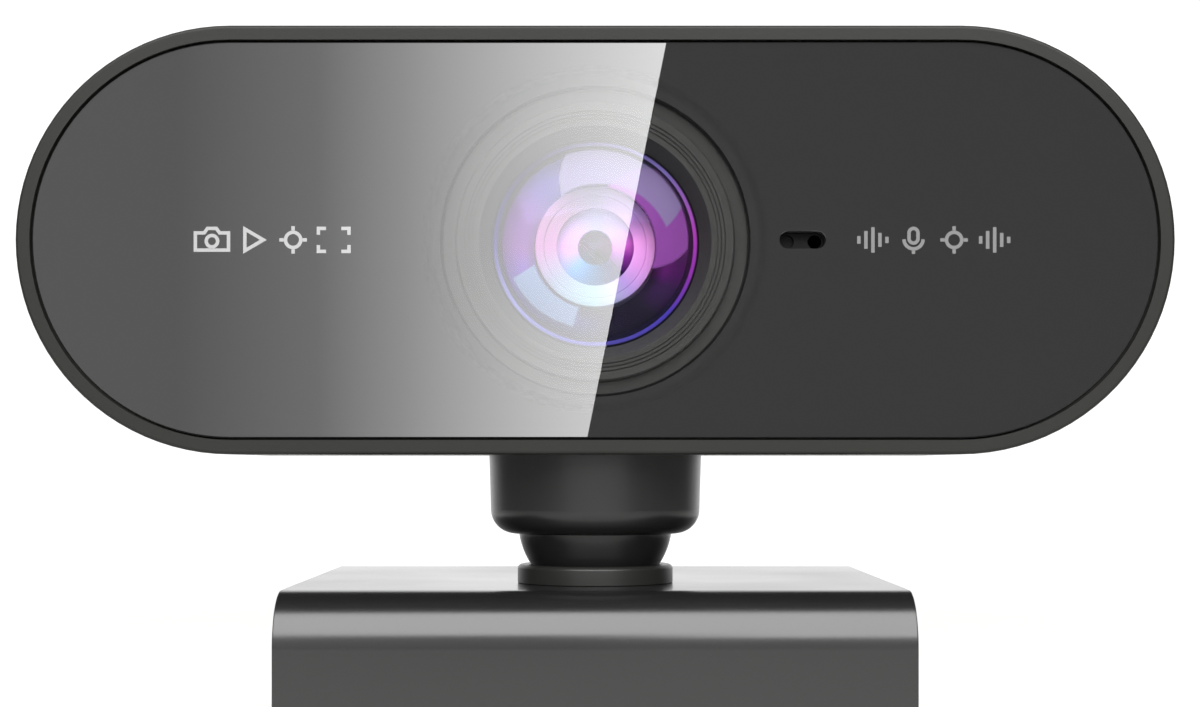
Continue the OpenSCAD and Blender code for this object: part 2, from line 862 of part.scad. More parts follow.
module socket_liner() {
    color([0.85, 0.85, 0.8]) at_ball() difference() {
        sphere(r = liner_out);
        sphere(r = liner_in);
        rod_z(liner_out + 1, -liner_out - 1, liner_low);
    }
}

module ball_stud() {
    foot = shaft_bottom - ball_z;
    color([0.12, 0.12, 0.12]) at_ball() difference() {
        union() {
            intersection() {
                sphere(r = ball_r);
                rod_z(ball_r + 1, -ball_flat, ball_r + 1);
            }
            rod_z(shaft_r, foot, -ball_flat + eps);
        }
        rod_z(axle_screw[2] + slip_gap, foot - 1, foot + screw_grip + 2);
    }
}

module swivel_disc() {
    edge = 0.25;
    hole_r = shaft_r + slip_gap;
    color([0.25, 0.25, 0.25]) translate([0, axis_y, jaw_h]) rotate_extrude() polygon([
        [hole_r, 0], [disc_r, 0], [disc_r, disc_t - edge],
        [disc_r - edge, disc_t], [hole_r, disc_t],
    ]);
}

module wave_washer() {
    color("silver") translate([0, axis_y, thrust_bottom + thrust_t])
        tube_z(shaft_r + 2, shaft_r + 0.1, 0, wave_t);
}

module thrust_washer() {
    color("gray") translate([0, axis_y, thrust_bottom])
        tube_z(shaft_r + 1.8, axle_screw[2] + 0.25, 0, thrust_t);
}

module swivel_screw() {
    color("dimgray") translate([0, axis_y, thrust_bottom])
        rotate([180, 0, 0]) screw(axle_screw, screw_grip + 1);
}

// ---------- clip ----------

// Side outline of the clip's L, (distance behind the front face, height)
module clip_outline() {
    union() {
        translate([bend_r, clip_bottom]) square([clip_d - bend_r, top_t]);
        square([jaw_t, jaw_h - bend_r]);
        translate([0, clip_bottom]) square([bend_r + eps, top_t - bend_r]);
        translate([bend_r, jaw_h - bend_r]) intersection() {
            circle(r = bend_r);
            translate([-bend_r, 0]) square([bend_r + eps, bend_r]);
        }
    }
}

module clip_shell() {
    color([0.29, 0.29, 0.28]) in_clip() difference() {
        union() {
            difference() {
                rotate([90, 0, 90]) linear_extrude(height = clip_w, center = true) clip_outline();
                box_from(
                    [-cavity_half, cavity_front, clip_bottom - 1],
                    [cavity_half, cavity_back, cavity_top]
                );
            }
            translate([0, swivel_y, 0]) rod_z(bearing_r, bearing_bottom, cavity_top + eps);
            at_inner_screws() rod_z(inner_post_r, clip_bottom + cover_t, cavity_top + eps);
            for (side = [-1, 1])
                translate([side * ear_middle, hinge_from_front, hinge_z]) {
                    rod_x(knuckle_r, ear_w / 2);
                    box_from(
                        [-ear_w / 2, -knuckle_r, 0],
                        [ear_w / 2, knuckle_r, clip_bottom - hinge_z + eps]
                    );
                }
        }
        translate([0, swivel_y, 0]) rod_z(shaft_r + shaft_gap, bearing_bottom - 1, jaw_h + 1);
        at_inner_screws() rod_z(inner_screw[2] + slip_gap, clip_bottom, cavity_top - 0.4);
        translate([0, hinge_from_front, hinge_z]) rod_x(pin_r + slip_gap, clip_w / 2 + 1);
    }
}

module inner_cover() {
    color([0.22, 0.22, 0.22]) in_clip() difference() {
        union() {
            box_from(
                [-cavity_half + seat_gap, cavity_front + seat_gap, clip_bottom],
                [cavity_half - seat_gap, cavity_back - seat_gap, clip_bottom + cover_t]
            );
            translate([0, tripod_y, 0])
                rod_z(insert_boss_r, clip_bottom + cover_t - eps, cavity_top - 2 * seat_gap);
        }
        translate([0, tripod_y, 0]) rod_z(insert_r + slip_gap, clip_bottom - 1, cavity_top + 1);
        at_inner_screws() {
            rod_z(inner_screw[2] + 0.27, clip_bottom - 1, cavity_top);
            rod_z(inner_screw[0] + 0.15, clip_bottom - 1, clip_bottom + cover_t - 0.5);
        }
    }
}

module inner_cover_screws() {
    color("dimgray") in_clip() at_inner_screws()
        translate([0, 0, clip_bottom + cover_t - 0.5])
            rotate([180, 0, 0]) screw(inner_screw, cavity_top - clip_bottom - cover_t);
}

module tripod_insert() {
    color([0.8, 0.65, 0.3]) in_clip() translate([0, tripod_y, 0])
        tube_z(insert_r, tripod_r, clip_bottom, clip_bottom + insert_h);
}

module top_pad() {
    half = clip_w / 2 - 7.5;
    color([0.06, 0.06, 0.06]) in_clip()
        box_from(
            [-half, pad_front, clip_bottom - pad_t],
            [half, tripod_y - insert_boss_r - 1.4, clip_bottom]
        );
}

module front_pad() {
    half = clip_w / 2 - 5;
    color([0.06, 0.06, 0.06]) in_clip()
        box_from([-half, jaw_t, 1.5], [half, jaw_t + pad_t, clip_bottom - 6]);
}

// ---------- rear leg ----------

module hinge_pin() {
    color("silver") at_hinge() rod_x(pin_r, ear_outer);
}

module hinge_washers() {
    color("silver") at_hinge()
        for (side = [-1, 1])
            translate([side * (ear_inner - (washer_t + seat_gap) / 2), 0, 0])
                difference() {
                    rod_x(knuckle_r - 0.3, washer_t / 2);
                    rod_x(pin_r + pin_gap, washer_t);
                }
}

module leg_pose() {
    at_hinge() rotate([-leg_angle, 0, 0]) children();
}

// A block across the leg: half its width, its span along the leg, and its thickness
module leg_block(half, start, end, thickness) {
    box_from([-half, start, -thickness / 2], [half, end, thickness / 2]);
}

module rear_leg() {
    boot_start = leg_len - boot_l;
    color([0.27, 0.27, 0.26]) leg_pose() difference() {
        union() {
            rod_x(knuckle_r, barrel_half);
            leg_block(barrel_half, 0, leg_clear + eps, leg_t);
            leg_block(leg_w / 2, leg_clear, boot_start, leg_t);
            leg_block(leg_w / 2 - tongue_inset, boot_start - eps, leg_len, tongue_t);
        }
        rod_x(pin_r + pin_gap, barrel_half + 1);
    }
}

module leg_foot() {
    boot_start = leg_len - boot_l;
    color([0.06, 0.06, 0.06]) leg_pose() difference() {
        union() {
            translate([0, leg_len, 0]) rod_x(foot_r, leg_w / 2);
            leg_block(leg_w / 2, boot_start, leg_len, leg_t);
        }
        leg_block(
            leg_w / 2 - tongue_inset + boot_gap, boot_start - 1,
            leg_len + boot_gap, tongue_t + 2 * boot_gap
        );
    }
}

front_shell();
rear_cover();
cover_screws();
front_window();
window_mask();
lens_surround();
cover_dome();
light_baffle();
lens_barrel();
retaining_ring();
front_element();
aperture_stop();
middle_element();
rear_element();
lens_holder();
holder_screws();
ir_filter();
image_sensor();
main_board();
board_screws();
controller_chip();
memory_chip();
crystal();
board_connector();
board_capacitors();
status_led();
light_pipe();
indicator_insert();
mic_boot();
mic_capsule();
mic_leads();
cable_grommet();
socket_cup();
socket_cap();
neck_nut();
socket_liner();
ball_stud();
swivel_disc();
wave_washer();
thrust_washer();
swivel_screw();
clip_shell();
inner_cover();
inner_cover_screws();
tripod_insert();
top_pad();
front_pad();
hinge_pin();
hinge_washers();
rear_leg();
leg_foot();
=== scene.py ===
"""The looks of a webcam on a clip stand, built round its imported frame."""
import json
import math

import bmesh
import bpy
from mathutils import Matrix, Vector

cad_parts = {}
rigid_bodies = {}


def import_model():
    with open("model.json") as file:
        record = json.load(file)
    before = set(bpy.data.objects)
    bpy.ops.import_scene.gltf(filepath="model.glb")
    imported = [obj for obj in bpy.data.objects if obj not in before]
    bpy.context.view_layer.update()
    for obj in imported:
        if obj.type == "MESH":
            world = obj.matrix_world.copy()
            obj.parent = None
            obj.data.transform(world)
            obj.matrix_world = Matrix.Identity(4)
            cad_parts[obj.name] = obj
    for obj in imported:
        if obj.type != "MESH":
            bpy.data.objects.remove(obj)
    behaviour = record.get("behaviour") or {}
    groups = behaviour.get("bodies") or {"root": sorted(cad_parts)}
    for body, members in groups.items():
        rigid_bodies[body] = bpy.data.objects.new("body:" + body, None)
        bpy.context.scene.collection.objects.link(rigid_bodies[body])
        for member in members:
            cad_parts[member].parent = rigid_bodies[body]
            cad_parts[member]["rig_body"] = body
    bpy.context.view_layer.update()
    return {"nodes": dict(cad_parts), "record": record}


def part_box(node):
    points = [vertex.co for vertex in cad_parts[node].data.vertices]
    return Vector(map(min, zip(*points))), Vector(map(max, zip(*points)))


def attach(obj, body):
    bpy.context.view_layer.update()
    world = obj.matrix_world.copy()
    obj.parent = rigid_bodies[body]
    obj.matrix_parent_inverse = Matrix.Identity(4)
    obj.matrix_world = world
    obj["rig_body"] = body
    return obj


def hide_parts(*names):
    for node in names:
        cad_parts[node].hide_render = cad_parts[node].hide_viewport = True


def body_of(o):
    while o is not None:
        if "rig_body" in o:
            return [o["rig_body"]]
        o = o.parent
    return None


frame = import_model()
nodes = frame["nodes"]
MM = 0.001


# ---------- places, taken from the frame or given -----

def middle(node):
    low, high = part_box(node)
    return (low + high) / 2


shell_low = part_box("front_shell")[0]
window_low, window_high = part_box("front_window")
lens_axis = Vector((0.0, shell_low.y, middle("front_shell").z))
clip_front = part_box("clip_shell")[0].y
surround_low, surround_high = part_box("lens_surround")
GAP_ROUND_SURROUND = 0.15 * MM  # shows as a thin black circle
mask_hole_r = (surround_high.x - surround_low.x) / 2 + GAP_ROUND_SURROUND
CLEAR_TO, BONDED_FROM = 0.3 * MM, 1.6 * MM  # how far beyond that hole the window changes
EDGE_FROM, EDGE_TO = 8.15 * MM, 9.35 * MM   # the band on the cover dome's polished edge where a reflection and shade are painted, from the lens axis
PUPIL_R, PUPIL_EDGE = 1.5 * MM, 0.12 * MM
PUPIL_SPAN = 1.6 * MM  # half the width over which the middle element's painted reflection changes


# ---------- small tools ----------

def linear(hex_colour):
    """An sRGB hex colour as the linear RGBA that shader sockets take."""
    parts = [int(hex_colour[i:i + 2], 16) / 255 for i in (1, 3, 5)]
    return [p / 12.92 if p <= 0.04045 else ((p + 0.055) / 1.055) ** 2.4 for p in parts] + [1.0]


def add(tree, kind, inputs=(), **settings):
    """Adds a node. Inputs take values, hex colours or other nodes' outputs; stops fill a ramp."""
    node = tree.nodes.new(kind)
    for name, value in settings.items():
        if name == "stops":
            ramp = node.color_ramp
            while len(ramp.elements) < len(value):
                ramp.elements.new(1.0)
            for element, (place, colour) in zip(ramp.elements, value):
                element.position = place
                element.color = linear(colour) if isinstance(colour, str) else [colour] * 3 + [1.0]
        else:
            setattr(node, name, value)
    for socket, value in dict(inputs).items():
        if isinstance(value, bpy.types.NodeSocket):
            tree.links.new(value, node.inputs[socket])
        else:
            value = linear(value) if isinstance(value, str) else value
            node.inputs[socket].default_value = value
    return node


def new_material(name, **sockets):
    """A material with one Principled shader; returns the material, its tree and the shader."""
    made = bpy.data.materials.new(name)
    made.use_nodes = True
    tree = made.node_tree
    shader = tree.nodes["Principled BSDF"]
    for socket, value in sockets.items():
        value = linear(value) if isinstance(value, str) else value
        shader.inputs[socket.replace("_", " ")].default_value = value
    return made, tree, shader


def link(tree, output, node, socket):
    tree.links.new(output, node.inputs[socket])


def mesh_piece(name, mesh_maker, material, body, slot, *replaced):
    """Makes one piece from a function that fills a bmesh, and fastens it to its body."""
    shape = bmesh.new()
    mesh_maker(shape)
    bmesh.ops.remove_doubles(shape, verts=shape.verts, dist=0.0005 * MM)
    bmesh.ops.recalc_face_normals(shape, faces=shape.faces)
    mesh = bpy.data.meshes.new(name)
    shape.to_mesh(mesh)
    shape.free()
    mesh.shade_smooth()
    mesh.set_sharp_from_angle(angle=math.radians(30))
    piece = bpy.data.objects.new(name, mesh)
    bpy.context.scene.collection.objects.link(piece)
    mesh.materials.append(material)
    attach(piece, body)
    if replaced:
        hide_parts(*replaced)
    return piece


def loft(shape, rings, closed_ends=True):
    """Skins a list of closed rings of points, with a cap on the first and the last."""
    made = [[shape.verts.new(point) for point in ring] for ring in rings]
    for one, two in zip(made, made[1:]):
        for i in range(len(one)):
            j = (i + 1) % len(one)
            shape.faces.new((one[i], one[j], two[j], two[i]))
    if closed_ends:
        shape.faces.new(list(reversed(made[0])))
        shape.faces.new(made[-1])
    return made


def stadium(centre, half_spine, radius, y, turns=48):
    """Points round a stadium that lies across X and Z, at one depth."""
    points = []
    for side in (1, -1):
        for i in range(turns + 1):
            angle = math.pi * (0.5 - i / turns)
            x = centre.x + side * (half_spine + radius * math.cos(angle))
            z = centre.z + side * radius * math.sin(angle)
            points.append((x, y, z))
    return points


# ---------- finishes ----------

MASK_INK = "#232323"
HARD_COAT_IOR = 1.8  # the coat is harder and denser than the acrylic, which is 1.49


def textured_abs(name, colour, grain=0.35 * MM, depth=0.012 * MM, roughness=0.36, gloss=0.5):
    """Black ABS moulded against a spark-eroded tool: a fine even grain that softens highlights.
    The real grain is about 0.05 mm across; it is drawn coarser so that it shows."""
    made, tree, shader = new_material(name, Base_Color=colour, Roughness=roughness, IOR=1.54,
                                      Specular_IOR_Level=gloss)
    place = add(tree, "ShaderNodeTexCoord")
    grit = add(tree, "ShaderNodeTexNoise",
               {"Vector": place.outputs["Object"], "Scale": 1 / grain, "Detail": 3.0, "Roughness": 0.6})
    flow = add(tree, "ShaderNodeTexNoise", {"Vector": place.outputs["Object"], "Scale": 40.0, "Detail": 2.0})
    tone = add(tree, "ShaderNodeMapRange", {"Value": flow.outputs["Fac"], "From Min": 0.3, "From Max": 0.7,
                                            "To Min": roughness - 0.03, "To Max": roughness + 0.03})
    link(tree, tone.outputs["Result"], shader, "Roughness")
    bump = add(tree, "ShaderNodeBump", {"Height": grit.outputs["Fac"], "Strength": 0.5, "Distance": depth})
    link(tree, bump.outputs["Normal"], shader, "Normal")
    return made


def plain_finish(name, colour, roughness, metallic=0.0, grain=0.4 * MM, depth=0.004 * MM, shift=0.06,
                 gloss=0.5):
    """An even moulded, printed, ground or plated surface: a faint mottle in its roughness and a
    trace of relief. The grain is coarser than a real surface's, so that it shows."""
    made, tree, shader = new_material(name, Base_Color=colour, Roughness=roughness, Metallic=metallic,
                                      Specular_IOR_Level=gloss)
    place = add(tree, "ShaderNodeTexCoord")
    mottle = add(tree, "ShaderNodeTexNoise",
                 {"Vector": place.outputs["Object"], "Scale": 1 / grain, "Detail": 4.0})
    tone = add(tree, "ShaderNodeMapRange", {"Value": mottle.outputs["Fac"], "From Min": 0.3,
                                            "From Max": 0.7, "To Min": max(roughness - shift, 0.02),
                                            "To Max": roughness + shift})
    link(tree, tone.outputs["Result"], shader, "Roughness")
    bump = add(tree, "ShaderNodeBump", {"Height": mottle.outputs["Fac"], "Strength": 0.4, "Distance": depth})
    link(tree, bump.outputs["Normal"], shader, "Normal")
    return made


def window_acrylic():
    """Clear hard-coated acrylic, bonded to the black mask. Over the mask it looks like polished
    black glass; over the hole for the lens it is clear with a thin mirror on its face."""
    made, tree, bonded = new_material("hard_coated_acrylic", Base_Color=MASK_INK, Roughness=0.0,
                                      IOR=HARD_COAT_IOR)
    _, away = round_lens_axis(tree)
    mirror = add(tree, "ShaderNodeBsdfPrincipled", {"Base Color": "#ffffff", "Metallic": 1.0,
                                                    "Roughness": 0.0})
    fresnel = add(tree, "ShaderNodeFresnel", {"IOR": HARD_COAT_IOR})
    sides = add(tree, "ShaderNodeNewGeometry")
    front_only = add(tree, "ShaderNodeMath", {0: 1.0, 1: sides.outputs["Backfacing"]}, operation="SUBTRACT")
    amount = add(tree, "ShaderNodeMath", {0: fresnel.outputs["Fac"], 1: front_only.outputs["Value"]},
                 operation="MULTIPLY")
    clear = add(tree, "ShaderNodeBsdfTransparent")
    open_glass = add(tree, "ShaderNodeMixShader", {0: amount.outputs["Value"], 1: clear.outputs["BSDF"],
                                                   2: mirror.outputs["BSDF"]})
    over_mask = add(tree, "ShaderNodeMapRange", {"Value": away, "From Min": mask_hole_r + CLEAR_TO,
                                                 "From Max": mask_hole_r + BONDED_FROM},
                    interpolation_type="SMOOTHSTEP")
    bonded_here = add(tree, "ShaderNodeMath", {0: over_mask.outputs["Result"],
                                               1: front_only.outputs["Value"]}, operation="MULTIPLY")
    mixed = add(tree, "ShaderNodeMixShader", {0: bonded_here.outputs["Value"],
                                              1: open_glass.outputs["Shader"], 2: bonded.outputs["BSDF"]})
    link(tree, mixed.outputs["Shader"], tree.nodes["Material Output"], "Surface")
    return made


def round_lens_axis(tree):
    """Sockets that give a point's turn round the lens axis (0 and 1 at the left, 0.25 at the
    bottom, 0.5 at the right, 0.75 at the top) and its distance from that axis."""
    place = add(tree, "ShaderNodeTexCoord")
    centred = add(tree, "ShaderNodeMapping", {"Vector": place.outputs["Object"],
                                              "Location": (0.0, 0.0, -lens_axis.z)})
    split = add(tree, "ShaderNodeSeparateXYZ", {0: centred.outputs["Vector"]})
    flat = add(tree, "ShaderNodeCombineXYZ", {"X": split.outputs["X"], "Y": split.outputs["Z"]})
    away = add(tree, "ShaderNodeVectorMath", {0: flat.outputs["Vector"]}, operation="LENGTH")
    angle = add(tree, "ShaderNodeMath", {0: split.outputs["Z"], 1: split.outputs["X"]}, operation="ARCTAN2")
    turn = add(tree, "ShaderNodeMapRange", {"Value": angle.outputs["Value"], "From Min": -math.pi,
                                            "From Max": math.pi})
    return turn.outputs["Result"], away.outputs["Value"]


def surface_with_painted_reflection(name, reflection_tints, roughness, fade=None):
    """A surface behind multi-coated glass, whose colour is a reflection painted by its turn round the lens
    axis: pink to one side, violet to the other and blue below; fade darkens it towards its rim."""
    made, tree, shader = new_material(name, Roughness=roughness, Specular_IOR_Level=0.0)
    turn, away = round_lens_axis(tree)
    colour = add(tree, "ShaderNodeValToRGB", {"Fac": turn}, stops=reflection_tints).outputs["Color"]
    if fade:
        inner, outer, darkest = fade
        reach = add(tree, "ShaderNodeMapRange", {"Value": away, "From Min": inner, "From Max": outer,
                                                 "To Min": 1.0, "To Max": darkest})
        colour = add(tree, "ShaderNodeMix", {0: 1.0, 6: colour, 7: reach.outputs["Result"]},
                     data_type="RGBA", blend_type="MULTIPLY").outputs[2]
    link(tree, colour, shader, "Base Color")
    return made


def lens_patch(tree, point, limits, soft=0.12):
    """How far a point lies inside a patch bounded by circles and lines, from 0 to 1. A limit is
    (centre, radius) for inside a circle, (centre, -radius) for outside it, or (normal, None,
    offset) for one side of a line. All are in millimetres from the lens axis."""
    nearest = None
    for limit in limits:
        if limit[1] is None:
            (x, z), _, offset = limit
            along = add(tree, "ShaderNodeVectorMath", {0: point, 1: (x, 0.0, z)}, operation="DOT_PRODUCT")
            inside = add(tree, "ShaderNodeMath", {0: along.outputs["Value"], 1: offset}, operation="ADD")
        else:
            (x, z), radius = limit
            away = add(tree, "ShaderNodeVectorMath", {0: point, 1: (x, 0.0, z)}, operation="DISTANCE")
            inside = add(tree, "ShaderNodeMath", {0: radius, 1: away.outputs["Value"]}, operation="SUBTRACT")
            if radius < 0:
                inside.operation = "ADD"
        if nearest:
            inside = add(tree, "ShaderNodeMath", {0: nearest.outputs[0], 1: inside.outputs[0]},
                         operation="MINIMUM")
        nearest = inside
    return add(tree, "ShaderNodeMapRange", {"Value": nearest.outputs[0], "From Min": -soft, "From Max": soft},
               interpolation_type="SMOOTHSTEP").outputs["Result"]


def cover_glass():
    """The cover dome: clear multi-coated glass. A reflection in the coating's colours is painted round its
    polished edge, with painted shade either side of it, and three soft reflections of soft boxes are painted
    on its face."""
    made, tree, edge = new_material("coated_cover_glass", Roughness=0.3, Specular_IOR_Level=0.0)
    turn, away = round_lens_axis(tree)
    # A reflection is painted round the polished edge in the coating's colours, with painted shade just inside
    # and outside it
    edge_reflection_colours = add(tree, "ShaderNodeValToRGB", {"Fac": turn},
                    stops=[(0.0, "#281d64"), (0.1, "#5f5f98"), (0.25, "#4a4592"), (0.38, "#3c3092"),
                           (0.45, "#702688"), (0.52, "#8c3094"), (0.62, "#695a9a"), (0.7, "#5c5688"),
                           (0.85, "#160b42"), (1.0, "#281d64")])
    reach = add(tree, "ShaderNodeMapRange", {"Value": away, "From Min": EDGE_FROM, "From Max": EDGE_TO})
    edge_band = add(tree, "ShaderNodeValToRGB", {"Fac": reach.outputs["Result"]},
                    stops=[(0.0, 0.0), (0.1, 0.55), (0.25, 0.4), (0.38, 0.45), (0.42, 1.0), (1.0, 1.0)])
    painted_edge_light_and_shade = add(tree, "ShaderNodeValToRGB", {"Fac": reach.outputs["Result"]},
                     stops=[(0.0, 0.05), (0.36, 0.1), (0.42, 1.0), (0.62, 1.0), (0.7, 0.03), (1.0, 0.0)])
    colour = add(tree, "ShaderNodeMix", {0: 1.0, 6: edge_reflection_colours.outputs["Color"],
                                         7: painted_edge_light_and_shade.outputs["Color"]},
                 data_type="RGBA", blend_type="MULTIPLY")
    link(tree, colour.outputs[2], edge, "Base Color")
    place = add(tree, "ShaderNodeTexCoord")
    in_mm = add(tree, "ShaderNodeMapping", {"Vector": place.outputs["Object"],
                                            "Scale": (1 / MM, 1 / MM, 1 / MM),
                                            "Location": (0.0, 0.0, -lens_axis.z / MM)})
    point = add(tree, "ShaderNodeVectorMath", {0: in_mm.outputs["Vector"], 1: (1.0, 0.0, 1.0)},
                operation="MULTIPLY").outputs["Vector"]
    gloss = add(tree, "ShaderNodeFresnel", {"IOR": 1.2})
    mirror = add(tree, "ShaderNodeBsdfPrincipled", {"Base Color": "#c8b8ff", "Metallic": 1.0,
                                                    "Roughness": 0.01})
    clear = add(tree, "ShaderNodeBsdfTransparent")
    layers = add(tree, "ShaderNodeMixShader", {0: gloss.outputs["Fac"], 1: clear.outputs["BSDF"],
                                               2: mirror.outputs["BSDF"]})
    # Each layer below is a reflection of a soft box, painted on the dome
    for painted_reflection_tint, strength, limits in DOME_PAINTED_REFLECTIONS:
        painted_reflection_layer = add(tree, "ShaderNodeBsdfPrincipled", {"Base Color": painted_reflection_tint, "Roughness": 0.35,
                                                       "Specular IOR Level": 0.0})
        spread = add(tree, "ShaderNodeMath", {0: lens_patch(tree, point, limits), 1: strength},
                     operation="MULTIPLY")
        layers = add(tree, "ShaderNodeMixShader", {0: spread.outputs["Value"], 1: layers.outputs["Shader"],
                                                   2: painted_reflection_layer.outputs["BSDF"]})
    both = add(tree, "ShaderNodeMixShader", {0: edge_band.outputs["Color"], 1: layers.outputs["Shader"],
                                             2: edge.outputs["BSDF"]})
    link(tree, both.outputs["Shader"], tree.nodes["Material Output"], "Surface")
    return made


def circuit_laminate():
    """Glass-fibre laminate under green solder mask. The copper tracks below lift it and show
    paler; they are 0.3 mm wide here, as on a coarse board."""
    made, tree, shader = new_material("green_solder_mask", Roughness=0.35)
    place = add(tree, "ShaderNodeTexCoord")
    upright = add(tree, "ShaderNodeMapping", {"Vector": place.outputs["Object"],
                                              "Rotation": (math.radians(90), 0.0, 0.0)})
    tracks = add(tree, "ShaderNodeTexBrick", {"Vector": upright.outputs["Vector"], "Scale": 1 / MM,
                                              "Mortar Size": 0.15, "Brick Width": 4.7, "Row Height": 1.4,
                                              "Color1": "#0a3a20", "Color2": "#0c4226", "Mortar": "#1c6a3c"})
    link(tree, tracks.outputs["Color"], shader, "Base Color")
    bump = add(tree, "ShaderNodeBump", {"Height": tracks.outputs["Fac"], "Strength": 0.6,
                                        "Distance": 0.03 * MM})
    link(tree, bump.outputs["Normal"], shader, "Normal")
    return made


# Reflections of soft boxes painted on the cover dome: colour, strength and limits
DOME_PAINTED_REFLECTIONS = [
    ("#6d377c", 0.75, [((0.0, 0.3), 8.15), ((0.0, -0.3), -5.3), ((4.6, 2.2), 4.4)]),
    ("#5f5876", 0.8, [((0.0, 0.0), 8.3), ((2.5, 5.6), 5.6), ((0.5, -1.0), -6.2)]),
    ("#546784", 0.75, [((-0.3, 0.2), 7.6), ((0.0, -0.2), -5.6), ((-0.95, 0.3), None, 0.3),
                       ((0.5, -0.86), None, 1.0)]),
]


def front_lens_glass():
    """The front element: coated glass, clear over the pupil, with a reflection painted round it."""
    made = surface_with_painted_reflection("front_element_with_painted_reflection",
                          [(0.0, "#b070c0"), (0.12, "#3a78b0"), (0.22, "#0a5078"), (0.3, "#062a50"),
                           (0.38, "#1a0640"), (0.46, "#802a90"), (0.52, "#c860c8"), (0.6, "#a080c0"),
                           (0.75, "#8c8cb4"), (0.88, "#a080b8"), (1.0, "#b070c0")], 0.08)
    tree = made.node_tree
    _, away = round_lens_axis(tree)
    painted_reflection_layer = add(tree, "ShaderNodeMapRange", {"Value": away, "From Min": PUPIL_R,
                                             "From Max": PUPIL_R + PUPIL_EDGE,
                                             "To Min": 0.06, "To Max": 0.9})
    clear = add(tree, "ShaderNodeBsdfTransparent")
    mixed = add(tree, "ShaderNodeMixShader", {0: painted_reflection_layer.outputs["Result"], 1: clear.outputs["BSDF"],
                                              2: tree.nodes["Principled BSDF"].outputs["BSDF"]})
    link(tree, mixed.outputs["Shader"], tree.nodes["Material Output"], "Surface")
    return made


def pupil_glass():
    """The middle element, which fills the pupil, with a painted reflection: dark with a blue glint below a
    slanted line, mauve above it.
    """
    made, tree, shader = new_material("middle_element_with_painted_reflection", Roughness=0.05)
    place = add(tree, "ShaderNodeTexCoord")
    centred = add(tree, "ShaderNodeMapping", {"Vector": place.outputs["Object"],
                                              "Location": (0.0, 0.0, -lens_axis.z)})
    turned = add(tree, "ShaderNodeVectorMath", {0: centred.outputs["Vector"], 1: (0.707, 0.0, 0.707)},
                 operation="DOT_PRODUCT")
    split = add(tree, "ShaderNodeMapRange", {"Value": turned.outputs["Value"], "From Min": -PUPIL_SPAN,
                                             "From Max": PUPIL_SPAN})
    painted_reflection_tint = add(tree, "ShaderNodeValToRGB", {"Fac": split.outputs["Result"]},
               stops=[(0.0, "#1a3a78"), (0.3, "#0a0c30"), (0.44, "#07061c"), (0.46, "#6a6484"),
                      (0.8, "#8a7898"), (1.0, "#9a5aa0")])
    link(tree, painted_reflection_tint.outputs["Color"], shader, "Base Color")
    return made


# Reflections painted by turn round the lens axis: bright pink and lavender on the ring, and on the funnel
# near black below
LENS_RING_PAINTED_REFLECTION = [(0.0, "#8a5686"), (0.12, "#6a768a"), (0.25, "#6c8a90"), (0.36, "#9078b0"),
                   (0.44, "#c084c4"), (0.52, "#d890d4"), (0.6, "#a87cc0"), (0.75, "#726c86"),
                   (0.88, "#846084"), (1.0, "#8a5686")]
FUNNEL_PAINTED_REFLECTION = [(0.0, "#7d2a9a"), (0.08, "#4a2ab0"), (0.14, "#2b2f9a"), (0.22, "#0c1258"),
                (0.28, "#040214"), (0.36, "#050010"), (0.42, "#3a0a50"), (0.465, "#8a2a9a"),
                (0.5, "#c860cc"), (0.56, "#b070d0"), (0.65, "#8078b8"), (0.75, "#5c5cae"),
                (0.85, "#3a2ab8"), (0.92, "#7a20a8"), (1.0, "#7d2a9a")]
SMOOTH = {"depth": 0.0004 * MM, "shift": 0.015}  # from a polished tool

